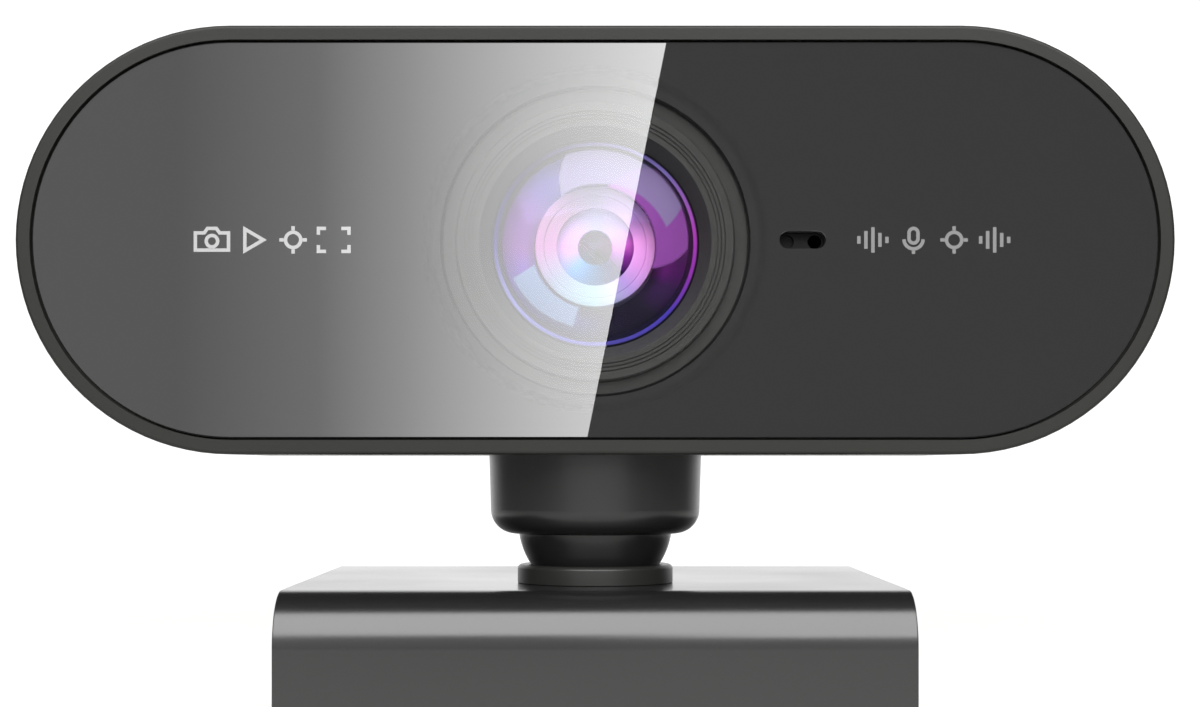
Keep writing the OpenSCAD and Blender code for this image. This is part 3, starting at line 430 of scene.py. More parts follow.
FINISHES = {
    # ABS moulded against spark-eroded steel: the head is matt, the clip has a satin shine
    "shell_abs": textured_abs("black_moulded_abs", "#1e1e1c", roughness=0.42, gloss=0.15),
    "clip_abs": textured_abs("black_moulded_abs_clip", "#131313", roughness=0.22, depth=0.004 * MM),
    "window_acrylic": window_acrylic(),
    # Screen-printed ink that hardly shines, and the finely matt ABS round the lens
    "mask_ink": plain_finish("satin_black_ink", MASK_INK, 0.7, gloss=0.0),
    "surround_abs": plain_finish("satin_black_abs", "#262625", 0.6, gloss=0.12),
    "coated_glass": cover_glass(),
    # Anodised and flocked surfaces that are only seen through the coated glass, coloured with painted
    # reflections
    "barrel_anodised": surface_with_painted_reflection("anodised_ring_with_painted_reflection", LENS_RING_PAINTED_REFLECTION, 0.3),
    "baffle_black": surface_with_painted_reflection("flocked_funnel_with_painted_reflection", FUNNEL_PAINTED_REFLECTION, 0.6,
                                   fade=(5.3 * MM, 8.8 * MM, 0.35)),
    # Inside the head: polished blue-green glass, fired ceramic, solder mask, matt moulded epoxy
    "ir_glass": plain_finish("infrared_glass", "#3a6a70", 0.05),
    "sensor_ceramic": plain_finish("sensor_ceramic", "#28283a", 0.3),
    "board_laminate": circuit_laminate(),
    "chip_epoxy": plain_finish("moulded_epoxy", "#161617", 0.6),
    # Oil-blackened steel screws; bright steel washers, nut, pin, leads and crystal can
    "screw_steel": plain_finish("blackened_steel", "#4a4a4c", 0.35, 1.0),
    "spring_steel": plain_finish("spring_steel", "#a8a8a8", 0.25, 1.0),
    # Fired brown ceramic, milky moulded nylon, yellowish cast resin, smoked acrylic, black ABS
    "capacitor_ceramic": plain_finish("capacitor_ceramic", "#8a6a48", 0.45),
    "connector_nylon": plain_finish("natural_nylon", "#c8c0a8", 0.45),
    "led_resin": plain_finish("led_resin", "#d8d4a0", 0.3),
    "light_pipe_acrylic": plain_finish("smoked_light_pipe", "#08080a", 0.3, gloss=0.1),
    "insert_black": plain_finish("insert_black", "#0c0b0d", 0.5, gloss=0.1),
    # Nickel over drawn aluminium; acetal from a polished tool; rubber with a dull bloom; turned brass
    "capsule_nickel": plain_finish("nickel_plate", "#b0aea8", 0.3, 1.0),
    "neck_nylon": plain_finish("black_acetal", "#171717", 0.3, gloss=0.36, **SMOOTH),
    "rubber": plain_finish("black_rubber", "#131313", 0.75),
    "insert_brass": plain_finish("brass", "#b8924a", 0.35, 1.0),
}
OWN_FINISH = {  # pieces that differ from the rest of their slot
    "front_element": front_lens_glass(),
    "middle_element": pupil_glass(),
    "aperture_stop": plain_finish("blackened_foil", "#050506", 0.5),
    "lens_holder": plain_finish("glass_filled_nylon", "#141414", 0.5),
    "socket_liner": plain_finish("grey_nylon", "#2a2a2a", 0.4),
    # Felt over the capsule's front swallows all light that comes in by the port
    "mic_capsule": plain_finish("black_felt", "#0a0a0b", 0.9, gloss=0.0, grain=0.1 * MM, depth=0.02 * MM),
    "swivel_disc": plain_finish("black_acetal_disc", "#1f1f1e", 0.35, gloss=0.3, **SMOOTH),
}

for part in frame["record"]["subparts"]:
    made = OWN_FINISH.get(part["node"], FINISHES[part["material_slot"]])
    mesh = nodes[part["node"]].data
    mesh.materials.clear()
    mesh.materials.append(made)


# ---------- front window ----------

SLOT_RADIUS, SLOT_HALF_SPINE = 0.75 * MM, 1.25 * MM
PANE_CHAMFER, SLOT_CHAMFER = 0.12 * MM, 0.03 * MM
CLEAR_OF_MASK = 0.03 * MM


def pane(shape):
    """The window: a stadium pane with a small polished chamfer and the indicator's slot."""
    height = window_high.z - window_low.z
    radius = height / 2
    half_spine = (window_high.x - window_low.x) / 2 - radius
    centre = (window_low + window_high) / 2
    slot_low, slot_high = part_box("indicator_insert")
    slot_centre = (slot_low + slot_high) / 2
    front, back = window_low.y, window_high.y - CLEAR_OF_MASK
    outside = [(radius - PANE_CHAMFER, front), (radius, front + PANE_CHAMFER), (radius, back - PANE_CHAMFER),
               (radius - PANE_CHAMFER, back)]
    slot = [(SLOT_RADIUS + SLOT_CHAMFER, front), (SLOT_RADIUS, front + SLOT_CHAMFER), (SLOT_RADIUS, back)]
    outer = loft(shape, [stadium(centre, half_spine, r, y) for r, y in outside], False)
    inner = loft(shape, [stadium(slot_centre, SLOT_HALF_SPINE, r, y, 12) for r, y in slot], False)
    for loops in ((outer[0], inner[0]), (outer[-1], inner[-1])):
        edges = [shape.edges.get((ring[i - 1], ring[i])) for ring in loops for i in range(len(ring))]
        bmesh.ops.triangle_fill(shape, edges=edges, use_beauty=True)


window = mesh_piece("window_pane", pane, FINISHES["window_acrylic"], "head", "window_acrylic",
                    "front_window")
window.visible_shadow = False  # light reaches the surround as if the whole pane were clear


# ---------- printed marks ----------

STROKE = 0.3 * MM
INK_PROUD, INK_SUNK = -0.015 * MM, 0.01 * MM  # its two faces, measured back from the window's
PICTURE_MARKS_X, SOUND_MARKS_X, MARK_PITCH = -27.8 * MM, 29.2 * MM, 3.5 * MM
MARK_HALF = 1.1 * MM  # half of a mark's height


def arc(x, z, radius, start, end, steps=20):
    """Points on an arc, in units of half a mark's height; angles in degrees."""
    angles = [math.radians(start + (end - start) * i / steps) for i in range(steps + 1)]
    return [(x + radius * math.cos(a), z + radius * math.sin(a)) for a in angles]


def stroke(shape, points, middle_x):
    """One printed stroke of even width with mitred corners. It stands a hair proud of the window
    and shines like it, since the hard coat over the ink isn't a piece of its own."""
    closed = points[0] == points[-1] or (Vector(points[0]) - Vector(points[-1])).length < 1e-6
    path = [Vector(point) for point in (points[:-1] if closed else points)]
    count = len(path)
    rings = []
    for i, point in enumerate(path):
        before = path[i - 1] if i or closed else None
        after = path[(i + 1) % count] if i + 1 < count or closed else None
        ways = [(b - a).normalized() for a, b in ((before, point), (point, after)) if a and b]
        along = sum(ways, Vector((0.0, 0.0))).normalized()
        across = Vector((-along.y, along.x)) * STROKE / 2 / max(along.dot(ways[0]), 0.5)
        ring = []
        for side, depth in ((-1, INK_PROUD), (1, INK_PROUD), (1, INK_SUNK), (-1, INK_SUNK)):
            x, z = point * MARK_HALF + across * side
            ring.append((middle_x + x, window_low.y + depth, lens_axis.z + z))
        rings.append(ring)
    loft(shape, rings + rings[:1] if closed else rings, not closed)


CAMERA_MARK = [[(-1.3, -0.8), (-1.3, 0.55), (-0.6, 0.55), (-0.35, 0.9), (0.35, 0.9), (0.6, 0.55),
                (1.3, 0.55), (1.3, -0.8), (-1.3, -0.8)], arc(0, -0.1, 0.45, 0, 360)]
FRAME_MARK = [[(1.2 * a, 0.4 * b), (1.2 * a, 0.9 * b), (0.6 * a, 0.9 * b)] for a in (1, -1) for b in (-1, 1)]
FOCUS_MARK = [arc(0, 0, 0.6, 0, 360), [(0, 0.74), (0, 1.08)], [(0, -0.74), (0, -1.08)],
              [(0.74, 0), (1.08, 0)], [(-0.74, 0), (-1.08, 0)]]
SOUND_MARK = [[(0.55 * i, -h), (0.55 * i, h)]
              for i, h in ((-2, 0.3), (-1, 0.7), (0, 1.0), (1, 0.55), (2, 0.25))]
MICROPHONE_MARK = [arc(0, 0.55, 0.35, 0, 180) + arc(0, 0.1, 0.35, 180, 360) + [(0.35, 0.55)],
                   arc(0, 0.05, 0.75, 180, 360), [(0, -0.84), (0, -1.1)]]
PLAY_MARK = [[(-0.6, -0.85), (0.85, 0), (-0.6, 0.85), (-0.6, -0.85)]]


def printed_ink(name, colour):
    """Screen-printed ink under the window's hard coat, with the fine mottle that a screen leaves."""
    made, tree, shader = new_material(name, Base_Color=colour, Roughness=0.0, IOR=HARD_COAT_IOR)
    place = add(tree, "ShaderNodeTexCoord")
    screen = add(tree, "ShaderNodeTexNoise", {"Vector": place.outputs["Object"], "Scale": 8000.0})
    tone = add(tree, "ShaderNodeMapRange", {"Value": screen.outputs["Fac"], "To Min": 0.9, "To Max": 1.1})
    shade = add(tree, "ShaderNodeMix", {0: 1.0, 6: colour, 7: tone.outputs["Result"]},
                data_type="RGBA", blend_type="MULTIPLY")
    link(tree, shade.outputs[2], shader, "Base Color")
    return made


def mark_row(name, middle_x, icons, ink):
    """A row of pictograms at the height of the lens axis."""
    def draw(shape):
        for i, icon in enumerate(icons):
            for points in icon:
                stroke(shape, points, middle_x + (i - (len(icons) - 1) / 2) * MARK_PITCH)
    return mesh_piece(name, draw, ink, "head", "mask_ink")


marks = [
    mark_row("picture_marks", PICTURE_MARKS_X, [CAMERA_MARK, PLAY_MARK, FOCUS_MARK, FRAME_MARK],
             printed_ink("pale_printed_ink", "#8e8e8e")),
    mark_row("sound_marks", SOUND_MARKS_X, [SOUND_MARK, MICROPHONE_MARK, FOCUS_MARK, SOUND_MARK],
             printed_ink("grey_printed_ink", "#6e6e6e")),
]


# ---------- what repeats: softened edges, screws, thread and ribs ----------

slot_of = {part["node"]: part["material_slot"] for part in frame["record"]["subparts"]}


def start_tree(name, sizes):
    """A geometry tree with named inputs; sizes gives each one's kind."""
    tree = bpy.data.node_groups.new(name, "GeometryNodeTree")
    inputs = {"Geometry": "Geometry", "Material": "Material", **sizes}
    for size, kind in inputs.items():
        tree.interface.new_socket(size, in_out="INPUT", socket_type="NodeSocket" + kind)
    tree.interface.new_socket("Geometry", in_out="OUTPUT", socket_type="NodeSocketGeometry")
    return tree, add(tree, "NodeGroupInput").outputs


def end_tree(tree, given, *shapes):
    """Joins the shapes, makes instances real and sets the material."""
    joined = add(tree, "GeometryNodeJoinGeometry")
    for shape in shapes:
        link(tree, shape, joined, "Geometry")
    real = add(tree, "GeometryNodeRealizeInstances", {"Geometry": joined.outputs[0]})
    dressed = add(tree, "GeometryNodeSetMaterial", {"Geometry": real.outputs[0],
                                                    "Material": given["Material"]})
    add(tree, "NodeGroupOutput", {"Geometry": dressed.outputs[0]})
    return tree


def grow(name, tree, places, sizes, material, body, slot, *replaced):
    """Runs a geometry tree on a handful of points and keeps what it makes as one plain mesh."""
    seeds = bpy.data.meshes.new(name + "_places")
    seeds.from_pydata(places, [], [])
    seed = bpy.data.objects.new(name + "_places", seeds)
    bpy.context.scene.collection.objects.link(seed)
    modifier = seed.modifiers.new("grow", "NODES")
    modifier.node_group = tree
    for item in tree.interface.items_tree:
        if item.in_out == "INPUT" and item.name in sizes:
            modifier[item.identifier] = sizes[item.name]
        elif item.name == "Material":
            modifier[item.identifier] = material
    depsgraph = bpy.context.evaluated_depsgraph_get()
    mesh = bpy.data.meshes.new_from_object(seed.evaluated_get(depsgraph), depsgraph=depsgraph)
    bpy.data.objects.remove(seed)
    piece = bpy.data.objects.new(name, mesh)
    bpy.context.scene.collection.objects.link(piece)
    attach(piece, body)
    if replaced:
        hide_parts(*replaced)
    return piece


def softened(node, radius):
    """Stands for a CAD node with the same shape, its hard edges rounded as a mould leaves them."""
    shape = bmesh.new()
    shape.from_mesh(nodes[node].data)
    bmesh.ops.remove_doubles(shape, verts=shape.verts, dist=0.0001 * MM)
    bmesh.ops.dissolve_limit(shape, angle_limit=math.radians(0.5), verts=shape.verts, edges=shape.edges)
    bmesh.ops.dissolve_degenerate(shape, dist=0.0001 * MM, edges=shape.edges)
    hard = [edge for edge in shape.edges if edge.is_manifold and edge.calc_face_angle(0) > math.radians(30)]
    bmesh.ops.bevel(shape, geom=hard, offset=radius, offset_type="OFFSET", segments=2, profile=0.5,
                    affect="EDGES", clamp_overlap=True)
    low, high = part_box(node)
    for vert in shape.verts:
        vert.co = [min(max(vert.co[i], low[i]), high[i]) for i in range(3)]
    bmesh.ops.triangulate(shape, faces=shape.faces)
    mesh = bpy.data.meshes.new(node + "_softened")
    shape.to_mesh(mesh)
    shape.free()
    mesh.materials.append(nodes[node].data.materials[0])
    mesh.shade_smooth()
    mesh.set_sharp_from_angle(angle=math.radians(50))
    piece = bpy.data.objects.new(node + "_softened", mesh)
    bpy.context.scene.collection.objects.link(piece)
    weighted = piece.modifiers.new("weighted", "WEIGHTED_NORMAL")
    weighted.keep_sharp = True
    depsgraph = bpy.context.evaluated_depsgraph_get()
    piece.data = bpy.data.meshes.new_from_object(piece.evaluated_get(depsgraph), depsgraph=depsgraph)
    piece.modifiers.clear()
    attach(piece, body_of(nodes[node])[0])
    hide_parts(node)
    return piece


for radius, softer in ((0.3 * MM, ("clip_shell", "leg_foot", "cable_grommet")),
                       (0.2 * MM, ("rear_leg", "inner_cover", "lens_holder", "board_connector", "mic_boot",
                                   "hinge_pin", "rear_cover")),
                       (0.1 * MM, ("controller_chip", "memory_chip", "crystal", "main_board",
                                   "hinge_washers", "status_led", "lens_barrel", "swivel_disc",
                                   "board_capacitors", "image_sensor", "ir_filter"))):
    for node in softer:
        softened(node, radius)


def screw_tree():
    """Pan-head screws with a cross recess and a coarse thread, heads facing along Facing."""
    tree, given = start_tree("cross_recess_screws", {
        "Head Radius": "Float", "Head Height": "Float", "Top Radius": "Float", "Recess": "Vector",
        "Recess Across": "Vector", "Recess Place": "Vector", "Shank Radius": "Float",
        "Shank Length": "Float", "Shank Place": "Vector", "Turns": "Float", "Thread Depth": "Float",
        "Facing": "Vector"})
    head = add(tree, "GeometryNodeMeshCone", {"Vertices": 40, "Radius Bottom": given["Head Radius"],
                                              "Radius Top": given["Top Radius"],
                                              "Depth": given["Head Height"]})
    cut = add(tree, "GeometryNodeMeshBoolean", {"Mesh 1": head.outputs["Mesh"]}, operation="DIFFERENCE")
    for size in ("Recess", "Recess Across"):
        bar = add(tree, "GeometryNodeMeshCube", {"Size": given[size]})
        placed = add(tree, "GeometryNodeTransform", {"Geometry": bar.outputs["Mesh"],
                                                     "Translation": given["Recess Place"]})
        link(tree, placed.outputs[0], cut, "Mesh 2")
    shank = add(tree, "GeometryNodeMeshCone", {"Vertices": 24, "Radius Bottom": given["Shank Radius"],
                                               "Radius Top": given["Shank Radius"],
                                               "Depth": given["Shank Length"]})
    coil = add(tree, "GeometryNodeCurveSpiral", {"Resolution": 20, "Rotations": given["Turns"],
                                                 "Start Radius": given["Shank Radius"],
                                                 "End Radius": given["Shank Radius"],
                                                 "Height": given["Shank Length"]})
    upright = add(tree, "GeometryNodeSetCurveNormal", {"Curve": coil.outputs[0]}, mode="Z_UP")
    tooth = add(tree, "GeometryNodeCurvePrimitiveCircle", {"Resolution": 4, "Radius": given["Thread Depth"]})
    thread = add(tree, "GeometryNodeCurveToMesh", {"Curve": upright.outputs[0],
                                                   "Profile Curve": tooth.outputs[0], "Fill Caps": True})
    body = add(tree, "GeometryNodeJoinGeometry")
    for part in (shank, thread):
        link(tree, part.outputs["Mesh"], body, "Geometry")
    lowered = add(tree, "GeometryNodeTransform", {"Geometry": body.outputs[0],
                                                  "Translation": given["Shank Place"]})
    whole = add(tree, "GeometryNodeJoinGeometry")
    for part in (cut.outputs["Mesh"], lowered.outputs[0]):
        link(tree, part, whole, "Geometry")
    copies = add(tree, "GeometryNodeInstanceOnPoints", {"Points": given["Geometry"],
                                                        "Instance": whole.outputs[0],
                                                        "Rotation": given["Facing"]})
    return end_tree(tree, given, copies.outputs[0])


def solids_of(node):
    """The box of each separate solid of a CAD node."""
    shape = bmesh.new()
    shape.from_mesh(nodes[node].data)
    bmesh.ops.remove_doubles(shape, verts=shape.verts, dist=0.0001 * MM)
    boxes, seen = [], set()
    for start in shape.verts:
        if start in seen:
            continue
        seen.add(start)
        waiting, corners = [start], []
        while waiting:
            vert = waiting.pop()
            corners.append(vert.co)
            for edge in vert.link_edges:
                other = edge.other_vert(vert)
                if other not in seen:
                    seen.add(other)
                    waiting.append(other)
        boxes.append([Vector([pick(corner[i] for corner in corners) for i in range(3)])
                      for pick in (min, max)])
    shape.free()
    return boxes


BACK, DOWN = (math.radians(-90), 0.0, 0.0), (math.radians(180), 0.0, 0.0)
HEAD_TOP = 0.74  # of the head's radius, since the head narrows upwards
RECESS_LONG, RECESS_WIDE, RECESS_RAISED = 1.1, 0.26, 0.98
TOOTH, TOOTH_PITCH = 0.12, 0.45  # of the shank's radius
SCREWS = {  # head height, shank radius, the way that the head faces, body
    "cover_screws": (1.3 * MM, 0.95 * MM, BACK, "head"),
    "board_screws": (1.1 * MM, 0.73 * MM, BACK, "head"),
    "holder_screws": (0.8 * MM, 0.58 * MM, BACK, "head"),
    "inner_cover_screws": (0.8 * MM, 0.73 * MM, DOWN, "clip"),
    "swivel_screw": (1.0 * MM, 1.03 * MM, DOWN, "swivel"),
}
cross_recess_screws = screw_tree()
for node, (head_height, shank_r, facing, body) in SCREWS.items():
    boxes = solids_of(node)
    places = []
    for low, high in boxes:
        centre = (low + high) / 2
        if facing is BACK:
            places.append((centre.x, high.y - head_height, centre.z))
        else:
            places.append((centre.x, centre.y, low.z + head_height))
    low, high = boxes[0]
    head_r = (high.x - low.x) / 2
    shank = max(high - low) - head_height
    tooth, bar, slit = TOOTH * shank_r, RECESS_LONG * head_r, RECESS_WIDE * head_r
    grow(node + "_turned", cross_recess_screws, places, {
        "Head Radius": head_r, "Head Height": head_height, "Top Radius": HEAD_TOP * head_r,
        "Recess": (bar, slit, head_height), "Recess Across": (slit, bar, head_height),
        "Recess Place": (0.0, 0.0, head_height * RECESS_RAISED), "Shank Radius": shank_r - tooth,
        "Shank Length": shank, "Shank Place": (0.0, 0.0, -shank),
        "Turns": shank / (TOOTH_PITCH * shank_r), "Thread Depth": tooth,
        "Facing": facing}, FINISHES["screw_steel"], body, slot_of[node], node)


THREAD_ROOT = 3.175 * MM  # half of the quarter inch
THREAD_DEPTH = 0.575 * MM
THREAD_PITCH = 1.27 * MM  # 20 turns to the inch
THREAD_TURNS = 3.0
THREAD_START = 0.6 * MM   # above the sleeve's lower face
SLEEVE_CHAMFER = 0.3 * MM


def insert_sleeve(shape):
    """The brass insert: a chamfered sleeve whose bore is cut out to the root of its thread."""
    low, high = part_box("tripod_insert")
    centre, outside, bevel_top = (low + high) / 2, (high.x - low.x) / 2, low.z + SLEEVE_CHAMFER
    profile = [(outside, bevel_top), (outside, high.z), (THREAD_ROOT, high.z), (THREAD_ROOT, bevel_top),
               (THREAD_ROOT + SLEEVE_CHAMFER, low.z), (outside - SLEEVE_CHAMFER, low.z),
               (outside, bevel_top)]
    rings = [[(centre.x + r * math.cos(math.tau * i / 72), centre.y + r * math.sin(math.tau * i / 72), z)
              for i in range(72)] for r, z in profile]
    loft(shape, rings, False)


def thread_tree():
    """A V-shaped thread that winds up the inside of a bore."""
    tree, given = start_tree("tripod_thread", {"Root Radius": "Float", "Height": "Float", "Turns": "Float",
                                               "Depth": "Float"})
    coil = add(tree, "GeometryNodeCurveSpiral", {"Resolution": 48, "Rotations": given["Turns"],
                                                 "Start Radius": given["Root Radius"],
                                                 "End Radius": given["Root Radius"],
                                                 "Height": given["Height"]})
    upright = add(tree, "GeometryNodeSetCurveNormal", {"Curve": coil.outputs[0]}, mode="Z_UP")
    tooth = add(tree, "GeometryNodeCurvePrimitiveCircle", {"Resolution": 4, "Radius": given["Depth"]})
    thread = add(tree, "GeometryNodeCurveToMesh", {"Curve": upright.outputs[0],
                                                   "Profile Curve": tooth.outputs[0], "Fill Caps": True})
    copies = add(tree, "GeometryNodeInstanceOnPoints", {"Points": given["Geometry"],
                                                        "Instance": thread.outputs[0]})
    return end_tree(tree, given, copies.outputs[0])


mesh_piece("tripod_insert_sleeve", insert_sleeve, FINISHES["insert_brass"], "clip", "insert_brass",
           "tripod_insert")
insert_low, insert_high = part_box("tripod_insert")
grow("tripod_thread", thread_tree(),
     [((insert_low.x + insert_high.x) / 2, (insert_low.y + insert_high.y) / 2, insert_low.z + THREAD_START)],
     {"Root Radius": THREAD_ROOT, "Height": THREAD_TURNS * THREAD_PITCH, "Turns": THREAD_TURNS,
      "Depth": THREAD_DEPTH}, FINISHES["insert_brass"], "clip", "insert_brass")


def rib_tree():
    """A flat rubber pad with a row of ribs on it."""
    tree, given = start_tree("ribbed_pad", {"Base": "Vector", "Base Place": "Vector", "Rib": "Vector",
                                            "Rib Start": "Vector", "Rib Step": "Vector", "Ribs": "Int"})
    base = add(tree, "GeometryNodeMeshCube", {"Size": given["Base"]})
    placed = add(tree, "GeometryNodeTransform", {"Geometry": base.outputs["Mesh"],
                                                 "Translation": given["Base Place"]})
    rib = add(tree, "GeometryNodeMeshCube", {"Size": given["Rib"]})
    row = add(tree, "GeometryNodeMeshLine", {"Count": given["Ribs"], "Start Location": given["Rib Start"],
                                             "Offset": given["Rib Step"]})
    ribs = add(tree, "GeometryNodeInstanceOnPoints", {"Points": row.outputs["Mesh"],
                                                      "Instance": rib.outputs["Mesh"]})
    return end_tree(tree, given, placed.outputs[0], ribs.outputs[0])


ribbed_pad = rib_tree()
RIB_PITCH, RIB_WIDTH = 1.3 * MM, 0.65 * MM
PAD_BASE = 0.45 * MM
RIB_SUNK = 0.05 * MM   # into the base, so that they are one
RIB_SHORTER = 1 * MM   # than the pad
for node, thin, along, gripping in (("top_pad", 2, 1, -1), ("front_pad", 1, 2, 1)):
    low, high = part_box(node)
    size, centre = high - low, (low + high) / 2
    base, base_place, rib, start, step = size.copy(), centre.copy(), size.copy(), centre.copy(), Vector()
    base[thin] = PAD_BASE
    base_place[thin] = centre[thin] - gripping * (size[thin] - base[thin]) / 2
    count = int(size[along] / RIB_PITCH)
    rib[thin], rib[along], rib[0] = size[thin] - PAD_BASE + RIB_SUNK, RIB_WIDTH, size.x - RIB_SHORTER
    start[thin] = centre[thin] + gripping * (size[thin] - rib[thin]) / 2
    start[along] = centre[along] - (count - 1) / 2 * RIB_PITCH
    step[along] = RIB_PITCH
    grow(node + "_ribbed", ribbed_pad, [(0.0, 0.0, 0.0)],
         {"Base": base, "Base Place": base_place, "Rib": rib, "Rib Start": start, "Rib Step": step,
          "Ribs": count}, FINISHES["rubber"], "clip", slot_of[node], node)


# ---------- camera, floor and light ----------

EYE_TO_CLIP = 170 * MM   # the camera stands this far in front of the clip
EYE_HEIGHT = 31.8 * MM
FLOOR_RADIUS, FLOOR_FADES_FROM, FLOOR_FADES_TO = 0.5, 0.16, 0.4
CARD_BEHIND_EYE = 100 * MM
CARD_GLOW = 8.5


def place_camera():
    """Level and square to the front; the view is shifted, as the object stands low in it."""
    data = bpy.data.cameras.new("camera")
    data.lens = 60.6
    data.sensor_width = 36.0
    data.shift_x = 0.004
    data.shift_y = 0.093
    data.clip_start = 0.01
    data.clip_end = 50.0
    camera = bpy.data.objects.new("camera", data)
    camera.location = (0.0, clip_front - EYE_TO_CLIP, EYE_HEIGHT)
    camera.rotation_euler = (math.radians(90), 0.0, 0.0)
    bpy.context.scene.collection.objects.link(camera)
    bpy.context.scene.camera = camera


def studio_world():
    """White behind the object for the eye. For reflections: a bright front, a bright low band
    at the back, dark sides and a dark ceiling."""
    world = bpy.data.worlds.new("studio")
    world.use_nodes = True
    bpy.context.scene.world = world
    tree = world.node_tree
    tree.nodes.clear()
    way = add(tree, "ShaderNodeTexCoord")
    split = add(tree, "ShaderNodeSeparateXYZ", {0: way.outputs["Generated"]})
    flat = add(tree, "ShaderNodeCombineXYZ", {"X": split.outputs["X"], "Y": split.outputs["Y"], "Z": 0.0})
    unit = add(tree, "ShaderNodeVectorMath", {0: flat.outputs["Vector"]}, operation="NORMALIZE")
    ahead = add(tree, "ShaderNodeSeparateXYZ", {0: unit.outputs["Vector"]})
    turn = add(tree, "ShaderNodeMapRange", {"Value": ahead.outputs["Y"], "From Min": -1.0, "From Max": 1.0})
    round_about = add(tree, "ShaderNodeValToRGB", {"Fac": turn.outputs["Result"]},
                      stops=[(0.0, 0.08), (0.25, 0.06), (0.75, 0.06), (0.92, 1.1), (1.0, 1.35)])
    upward = add(tree, "ShaderNodeMapRange", {"Value": split.outputs["Z"], "From Min": 0.0, "From Max": 1.0})
    height = add(tree, "ShaderNodeValToRGB", {"Fac": upward.outputs["Result"]},
                 stops=[(0.0, 1.0), (0.4, 0.9), (0.55, 0.06), (1.0, 0.03)])
    seen = add(tree, "ShaderNodeMix", {0: 1.0, 6: round_about.outputs["Color"], 7: height.outputs["Color"]},
               data_type="RGBA", blend_type="MULTIPLY")
    rays = add(tree, "ShaderNodeLightPath")
    shown = add(tree, "ShaderNodeMix", {0: rays.outputs["Is Camera Ray"], 6: seen.outputs[2], 7: "#ffffff"},
                data_type="RGBA")
    glow = add(tree, "ShaderNodeBackground", {"Color": shown.outputs[2], "Strength": 1.15})
    out = add(tree, "ShaderNodeOutputWorld")
    link(tree, glow.outputs["Background"], out, "Surface")


def soft_box(name, centre, aim, width, height, radiance, unseen_by=()):
    """A rectangular soft box; its power follows from the radiance that it should show. Pieces
    that it is unseen by are neither lit by it nor reflect it."""
    data = bpy.data.lights.new(name, "AREA")
    data.shape = "RECTANGLE"
    data.size = width
    data.size_y = height
    data.energy = radiance * math.pi * width * height
    lamp = bpy.data.objects.new(name, data)
    lamp.location = centre
    lamp.rotation_euler = (Vector(aim) - Vector(centre)).to_track_quat("-Z", "Y").to_euler()
    lamp.visible_camera = False
    bpy.context.scene.collection.objects.link(lamp)
    if unseen_by:
        group = bpy.data.collections.new(name + "_unseen_by")
        for piece in unseen_by:
            group.objects.link(piece)
        lamp.light_linking.receiver_collection = group
        for member in group.collection_objects:
            member.light_linking.link_state = "EXCLUDE"
    return lamp


def stage_floor():
    """A pale round floor, lit until it runs into the white behind it."""
    shape = bmesh.new()
    bmesh.ops.create_circle(shape, cap_ends=True, radius=FLOOR_RADIUS, segments=96)
    mesh = bpy.data.meshes.new("floor")
    shape.to_mesh(mesh)
    shape.free()
    floor = bpy.data.objects.new("floor", mesh)
    bpy.context.scene.collection.objects.link(floor)
    made, tree, shader = new_material("pale_floor", Base_Color="#c6c6c4", Roughness=0.9,
                                      Emission_Color="#ffffff", Emission_Strength=0.23)
    place = add(tree, "ShaderNodeTexCoord")
    away = add(tree, "ShaderNodeVectorMath", {0: place.outputs["Object"]}, operation="LENGTH")
    fade = add(tree, "ShaderNodeMapRange", {"Value": away.outputs["Value"],
                                            "From Min": FLOOR_FADES_FROM, "From Max": FLOOR_FADES_TO},
               interpolation_type="SMOOTHSTEP")
    clear = add(tree, "ShaderNodeBsdfTransparent")
    mixed = add(tree, "ShaderNodeMixShader", {0: fade.outputs["Result"], 1: shader.outputs["BSDF"],
                                              2: clear.outputs["BSDF"]})
    link(tree, mixed.outputs["Shader"], tree.nodes["Material Output"], "Surface")
    mesh.materials.append(made)
    return floor


def linked_card(name, corners, material, receivers):
    """A glowing card that only the named pieces reflect."""
    shape = bmesh.new()
    shape.faces.new([shape.verts.new(corner) for corner in corners])
    mesh = bpy.data.meshes.new(name)
    shape.to_mesh(mesh)
    shape.free()
    mesh.materials.append(material)
    card = bpy.data.objects.new(name, mesh)
    bpy.context.scene.collection.objects.link(card)
    for kind in ("camera", "diffuse", "transmission", "volume_scatter", "shadow"):
        setattr(card, "visible_" + kind, False)
    group = bpy.data.collections.new(name + "_receivers")
    for piece in receivers:
        group.objects.link(piece)
    card.light_linking.receiver_collection = group
    return card


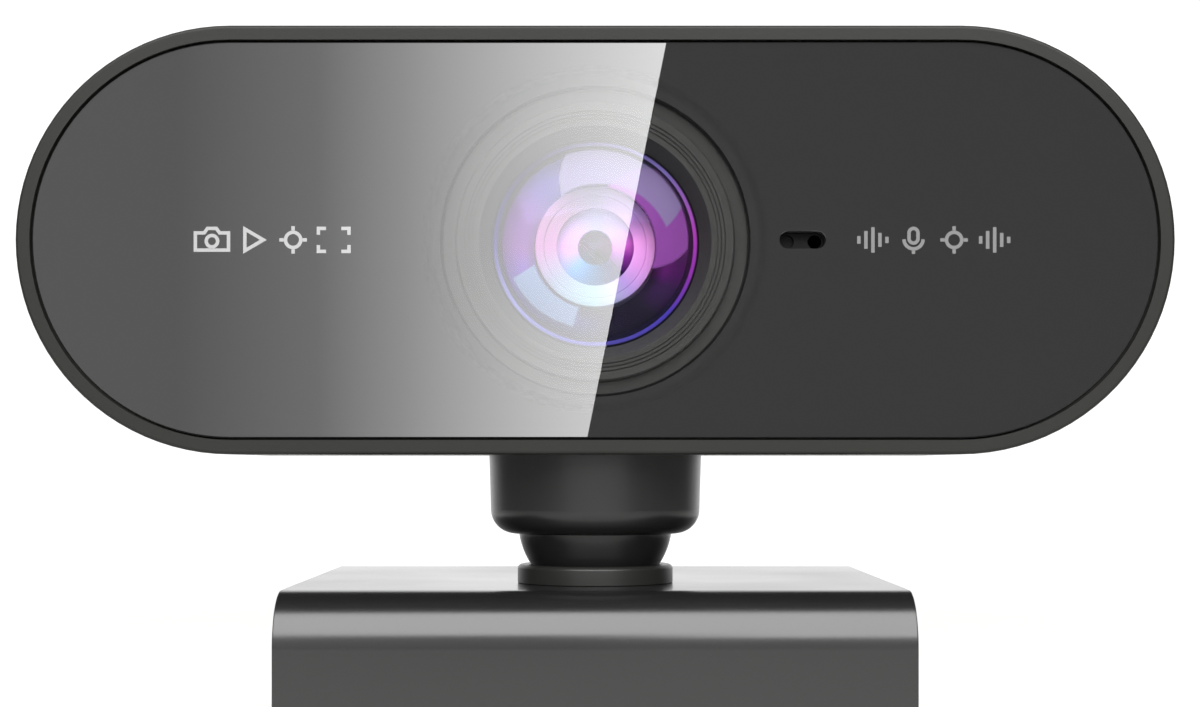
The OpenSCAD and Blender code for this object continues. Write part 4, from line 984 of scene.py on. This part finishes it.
def graded_card():
    """The tall card whose reflection lies over the left half of the window, with a slanted
    right edge. It is graded from dim at the left to bright at that edge."""
    eye_to_window = window_low.y - (clip_front - EYE_TO_CLIP)
    card_to_window = eye_to_window + CARD_BEHIND_EYE
    spread = (eye_to_window + card_to_window) / eye_to_window
    y = window_low.y - card_to_window

    def on_card(x, above_eye):
        return (x * spread, y, EYE_HEIGHT + above_eye * spread)

    slant = 0.2  # the edge leans this much to the right for each unit of height
    edge_x, edge_at = -0.73 * MM, 2.15 * MM
    left, low, high = -56 * MM, -8 * MM, 46 * MM

    def edge(above_eye):
        return edge_x + (above_eye - edge_at) * slant

    corners = [on_card(left, low), on_card(edge(low), low), on_card(edge(high), high), on_card(left, high)]
    made = bpy.data.materials.new("graded_white_card")
    made.use_nodes = True
    tree = made.node_tree
    tree.nodes.clear()
    place = add(tree, "ShaderNodeTexCoord")
    split = add(tree, "ShaderNodeSeparateXYZ", {0: place.outputs["Object"]})
    start, end = -36 * MM, 7 * MM
    across = add(tree, "ShaderNodeMapRange", {"Value": split.outputs["X"], "From Min": start * spread,
                                              "From Max": end * spread})
    grade = add(tree, "ShaderNodeValToRGB", {"Fac": across.outputs["Result"]},
                stops=[(0.0, 0.085), (0.28, 0.165), (0.45, 0.33), (1.0, 1.0)])
    glow = add(tree, "ShaderNodeEmission", {"Color": grade.outputs["Color"], "Strength": CARD_GLOW})
    out = add(tree, "ShaderNodeOutputMaterial")
    link(tree, glow.outputs["Emission"], out, "Surface")
    linked_card("graded_card", corners, made, [window] + marks)


place_camera()
studio_world()
stage_floor()
# A big box above the camera lights everything. Two small ones just behind the camera lift the
# shadows; they leave out the window, its marks and the cover dome, which would mirror them.
soft_box("soft_box_front", (0.0, -0.573, 0.614), (0.0, -0.038, 0.02), 1.1, 0.88, 8.0)
fill_y = clip_front - EYE_TO_CLIP - 15 * MM
glassy = [window, nodes["cover_dome"]] + marks
soft_box("soft_box_fill", (0.0, fill_y, 0.065), (0.0, 0.0, 0.065), 0.26, 0.105, 0.95, unseen_by=glassy)
soft_box("soft_box_low", (0.0, fill_y, 0.05), (0.0, 0.0, 0.05), 0.24, 0.035, 2.5,
         unseen_by=glassy + [nodes["front_shell"]])
graded_card()
bpy.context.scene.view_settings.view_transform = "Standard"
